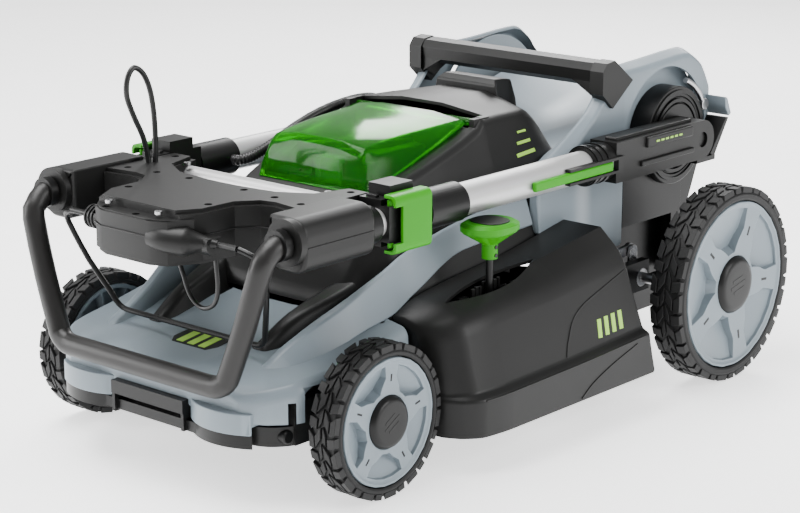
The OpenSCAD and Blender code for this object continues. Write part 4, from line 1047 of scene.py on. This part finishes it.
for side, sx in SIDES:
    lo = "lower_handle"
    # raised ribs and marks of the bracket
    for name, low, high, width in (("rib", (164, 158, 288), (181, 306, 294), 0.0018),
                                   ("rail", (186, 196, 256), (190.5, 300, 262), 0.0012),
                                   ("panel", (186, 206, 276), (190.5, 296, 288), 0.0014)):
        piece(side_box(sx, low, high), f"bracket_{name}_{side}", lo, "dark_plastic", width)
    for k in range(6):
        piece(side_box(sx, (190.4, 222 + k * 9, 280.6), (190.9, 228 + k * 9, 282.8)),
              f"bracket_mark_{side}_{k}", lo, "green_plastic", 0, 1, brand_green)
    for k, y in enumerate((114, 124, 134)):
        o = disc(1, y, y + 5, sx * TUBE_X, TUBE_Z, 23.0 - 0.6 * (k % 2), 64)
        carve(o, [disc(1, y - 1, y + 6, sx * TUBE_X, TUBE_Z, 20, 64)])
        piece(o, f"collar_ring_{side}_{k}", lo, "black_plastic", 0.001)
    # two rows of teeth on the clamp body
    for k in range(5):
        piece(side_box(sx, (150, -224 + k * 11, 290.5), (164, -219 + k * 11, 294)),
              f"clamp_tooth_{side}_{k}", lo, "black_plastic", 0.0008)
    # spring clip and rings of the pivot disc
    for k, (r0, r1) in enumerate(((54, 50), (44, 40))):
        a, b = both_ends(sx, 148.6, 150.6 - 0.4 * k)
        o = disc(0, a, b, PIVOT_Y, TUBE_Z, r0, 72)
        carve(o, [disc(0, a - 1, b + 1, PIVOT_Y, TUBE_Z, r1, 72)])
        piece(o, f"disc_ring_{side}_{k}", "chassis", "black_plastic", 0.0006)
    clip = [[sx * 146, PIVOT_Y + 66 * math.cos(t), TUBE_Z + 66 * math.sin(t)] for t in
            [0.45 + 0.1 * k for k in range(9)]]
    o = wire(f"spring_clip_{side}", clip, 0.0035, M["steel"], 4)
    finish_piece(o, "chassis")
    o = disc(0, *both_ends(sx, 122, 150), PIVOT_Y + 66 * math.cos(0.45), TUBE_Z + 66 * math.sin(0.45), 7, 32)
    piece(o, f"clip_post_{side}", "chassis", "steel", 0.001)
    # stepped collars where the grip loop enters the housings
    o = disc(1, -360, -352, sx * 169, 272, 23.5, 64)
    carve(o, [disc(1, -370, -350, sx * 169, 272, 12, 48)])
    piece(o, f"loop_collar_{side}", "upper_handle", "dark_plastic", 0.0022)
    o = disc(1, -372, -362.5, sx * 169, 271, 15.5, 48)
    carve(o, [disc(1, -380, -350, sx * 169, 270.5, 11.2, 48)])
    piece(o, f"loop_gland_{side}", "upper_handle", "black_plastic", 0.0015)
    # ribs of the right bail knob
    for k in range(3 if sx < 0 else 0):
        o = disc(0, *both_ends(sx, 76 + k * 5, 79 + k * 5), -375, 260, 12.2, 40)
        carve(o, [disc(0, *both_ends(sx, 60, 100), -375, 261, 3.4, 24)])
        piece(o, f"knob_rib_{side}_{k}", "upper_handle", "black_plastic", 0.0008)

# switch box: seam, pod with two sunk screws and the small boot
half = [(20, -271.4), (70, -265.4), (104, -245.4), (111.4, -206.4), (141.5, -206.4),
        (141.5, -312.6), (104.3, -306.6), (88.6, -310.6), (72.6, -330.6), (70.6, -372.6),
        (52.6, -402.6), (34.6, -410.6)]
o = wire("box_seam", [(x, y, 265.2) for x, y in mirrored(half) + half[:1]], 0.0007,
         M["black_plastic"], 2)
finish_piece(o, "upper_handle")
o = plate(2, 268, 282.5, rounded([(-69, -380), (-51.5, -401), (-33.5, -409.2), (33.5, -409.2),
                                  (51.5, -401), (69, -380)], [2, 12, 12, 12, 12, 2], True, 4))
carve(o, [disc(2, 276, 290, x, y, 4, 32) for x, y in ((-38, -400), (8, -402))])
piece(o, "front_pod", "upper_handle", "dark_plastic", 0.0022, 3)
for k, (x, y) in enumerate(((-38, -400), (8, -402))):
    o = disc(2, 276, 278, x, y, 3, 24)
    piece(o, f"pod_screw_{k}", "upper_handle", "steel", 0.0003)
o = tube_mesh("switch_boot", catmull([(30, -399, 263), (44, -398, 262.5), (60, -391, 261.5),
                                      (76, -382, 261), (88, -377, 261), (95, -375, 261)], 6),
              lambda d: 14.5 - 0.9 * max(0, d - 38) ** 0.72 if d > 38 else 14.5 - 0.05 * (38 - d),
              M["dark_plastic"], 28)
finish_piece(o, "upper_handle")

# inlay of the lever's grip, and black discs as painted shade for the grip's holes
o = plate(2, 243.2, 245.2, rounded([(169, -93), (209, -93), (209, -57), (169, -57)], [17] * 4,
                                   True, 7))
piece(o, "grip_inlay", "height_lever", "black_plastic", 0.0008)
for k in range(2):
    # black discs: painted shade standing in for the two holes of the grip
    piece(disc(0, 195.5, 198.2, -75, 208 + k * 9, 2.2, 24), f"grip_hole_shade_{k}", "height_lever",
          "black_plastic", 0)
# lines and bright feet of the latch inside the clear lid
for k in (-1, 1):
    piece(block_box((-24 + 12 * (k + 1) - 1, -112, 216), (-20 + 12 * (k + 1) + 1, -108, 286)),
          f"latch_leg_{k + 1}", "latch", "green_plastic", 0.0008)
# small knob ahead of the left front wheel
piece(disc(0, 150, 164, -352, 74, 7, 32), "axle_knob", "chassis", "black_plastic", 0.0015)

# rounded end housings and the stepped nose of the switch box
for side, sx in SIDES:
    ring = [(sx * x, z) for x, z in ((142, 251), (152, 241), (178, 241), (187, 246), (190, 255),
                                     (190, 281), (186, 290), (176, 295), (142, 295))]
    o = skin([(-353, ring), (-253, ring)], [3, 5, 8, 6, 8, 9, 6, 9, 2], half=False, edge=4)
    carve(o, [disc(1, -331, -250, sx * TUBE_X, TUBE_Z, 15.05, 64),
              disc(1, -366, -340, sx * 169, 272, 11.6, 64)])
    dress(o, "fine_end_housing_" + side, "end_housing_" + side, ["end_housing_" + side])
    # seam of the housing
    o = wire(f"housing_seam_{side}", [(sx * 190.1, -349, 268), (sx * 190.1, -257, 268)], 0.0006,
             M["black_plastic"], 2)
    finish_piece(o, "upper_handle")
top = refine("switch_box_top", 0)
top.modifiers.clear()
carve(top, [block_box((-80, -425, 281), (80, -391, 300))])
smooth(top.data, 32)
bevel(top, 0.0014, 3, 32)
weighted(top)

# clamp levers: one rounded band bent around the tube, with its stub pins
for side, sx in SIDES:
    ring = [(sx * x, z) for x, z in ((177, 297), (193, 297), (193, 237), (177, 237), (177, 240.6),
                                     (189.4, 240.6), (189.4, 293.4), (177, 293.4))]
    ring = rounded(ring, [1, 13, 13, 1, 1, 9.4, 9.4, 1], True, 6)
    o = plate(1, -227, -172, ring)
    # the middle of the band is narrower than its arms
    carve(o, [side_box(sx, (183, -230, 248.5), (200, -216, 285.5))])
    for z in (279.5, 242.5):
        carve(o, [disc(2, z, z + 12, sx * 181, -222, 3, 32)], "UNION")
    dress(o, "fine_clamp_lever_" + side, "clamp_lever_" + side, ["clamp_lever_" + side])
    bevel(o, 0.0009, 3, 40)
    # sleeve between the clamp and the upper housing
    o = disc(1, -253, -237, sx * TUBE_X, TUBE_Z, 19.5, 64)
    carve(o, [disc(1, -260, -230, sx * TUBE_X, TUBE_Z, 15.2, 64)])
    piece(o, f"tube_sleeve_{side}", "upper_handle", "black_plastic", 0.0015)

done = {r for o in scene.objects if "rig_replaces" in o for r in o["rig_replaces"]}
WIDE = {"switch_box_base": (0.0025, 3), "bracket_left": (0.0018, 3),
        "bracket_right": (0.0018, 3), "clamp_bodies": (0.0015, 2), "lever_grip": (0.0018, 3),
        "carry_handle": (0.003, 3), "angle_latch_left": (0.002, 3),
        "angle_latch_right": (0.002, 3), "bumper_bar": (0.0015, 2), "rear_frame": (0.001, 2),
        "battery_pack": (0.002, 2)}
for node in sorted(frame["nodes"]):
    if node not in done:
        refine(node, *WIDE.get(node, (0.0008, 2)))

# ---------- floor ----------
bpy.ops.mesh.primitive_plane_add(size=30, location=(0, 0, -0.0005))
floor = bpy.context.object
floor.name = "floor"
floor.data.materials.append(material("floor", (0.93, 0.93, 0.93), 0.55, grain=60, bump=0.02,
                                     vary=0.01, glow=1.35))
floor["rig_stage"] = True
low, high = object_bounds()
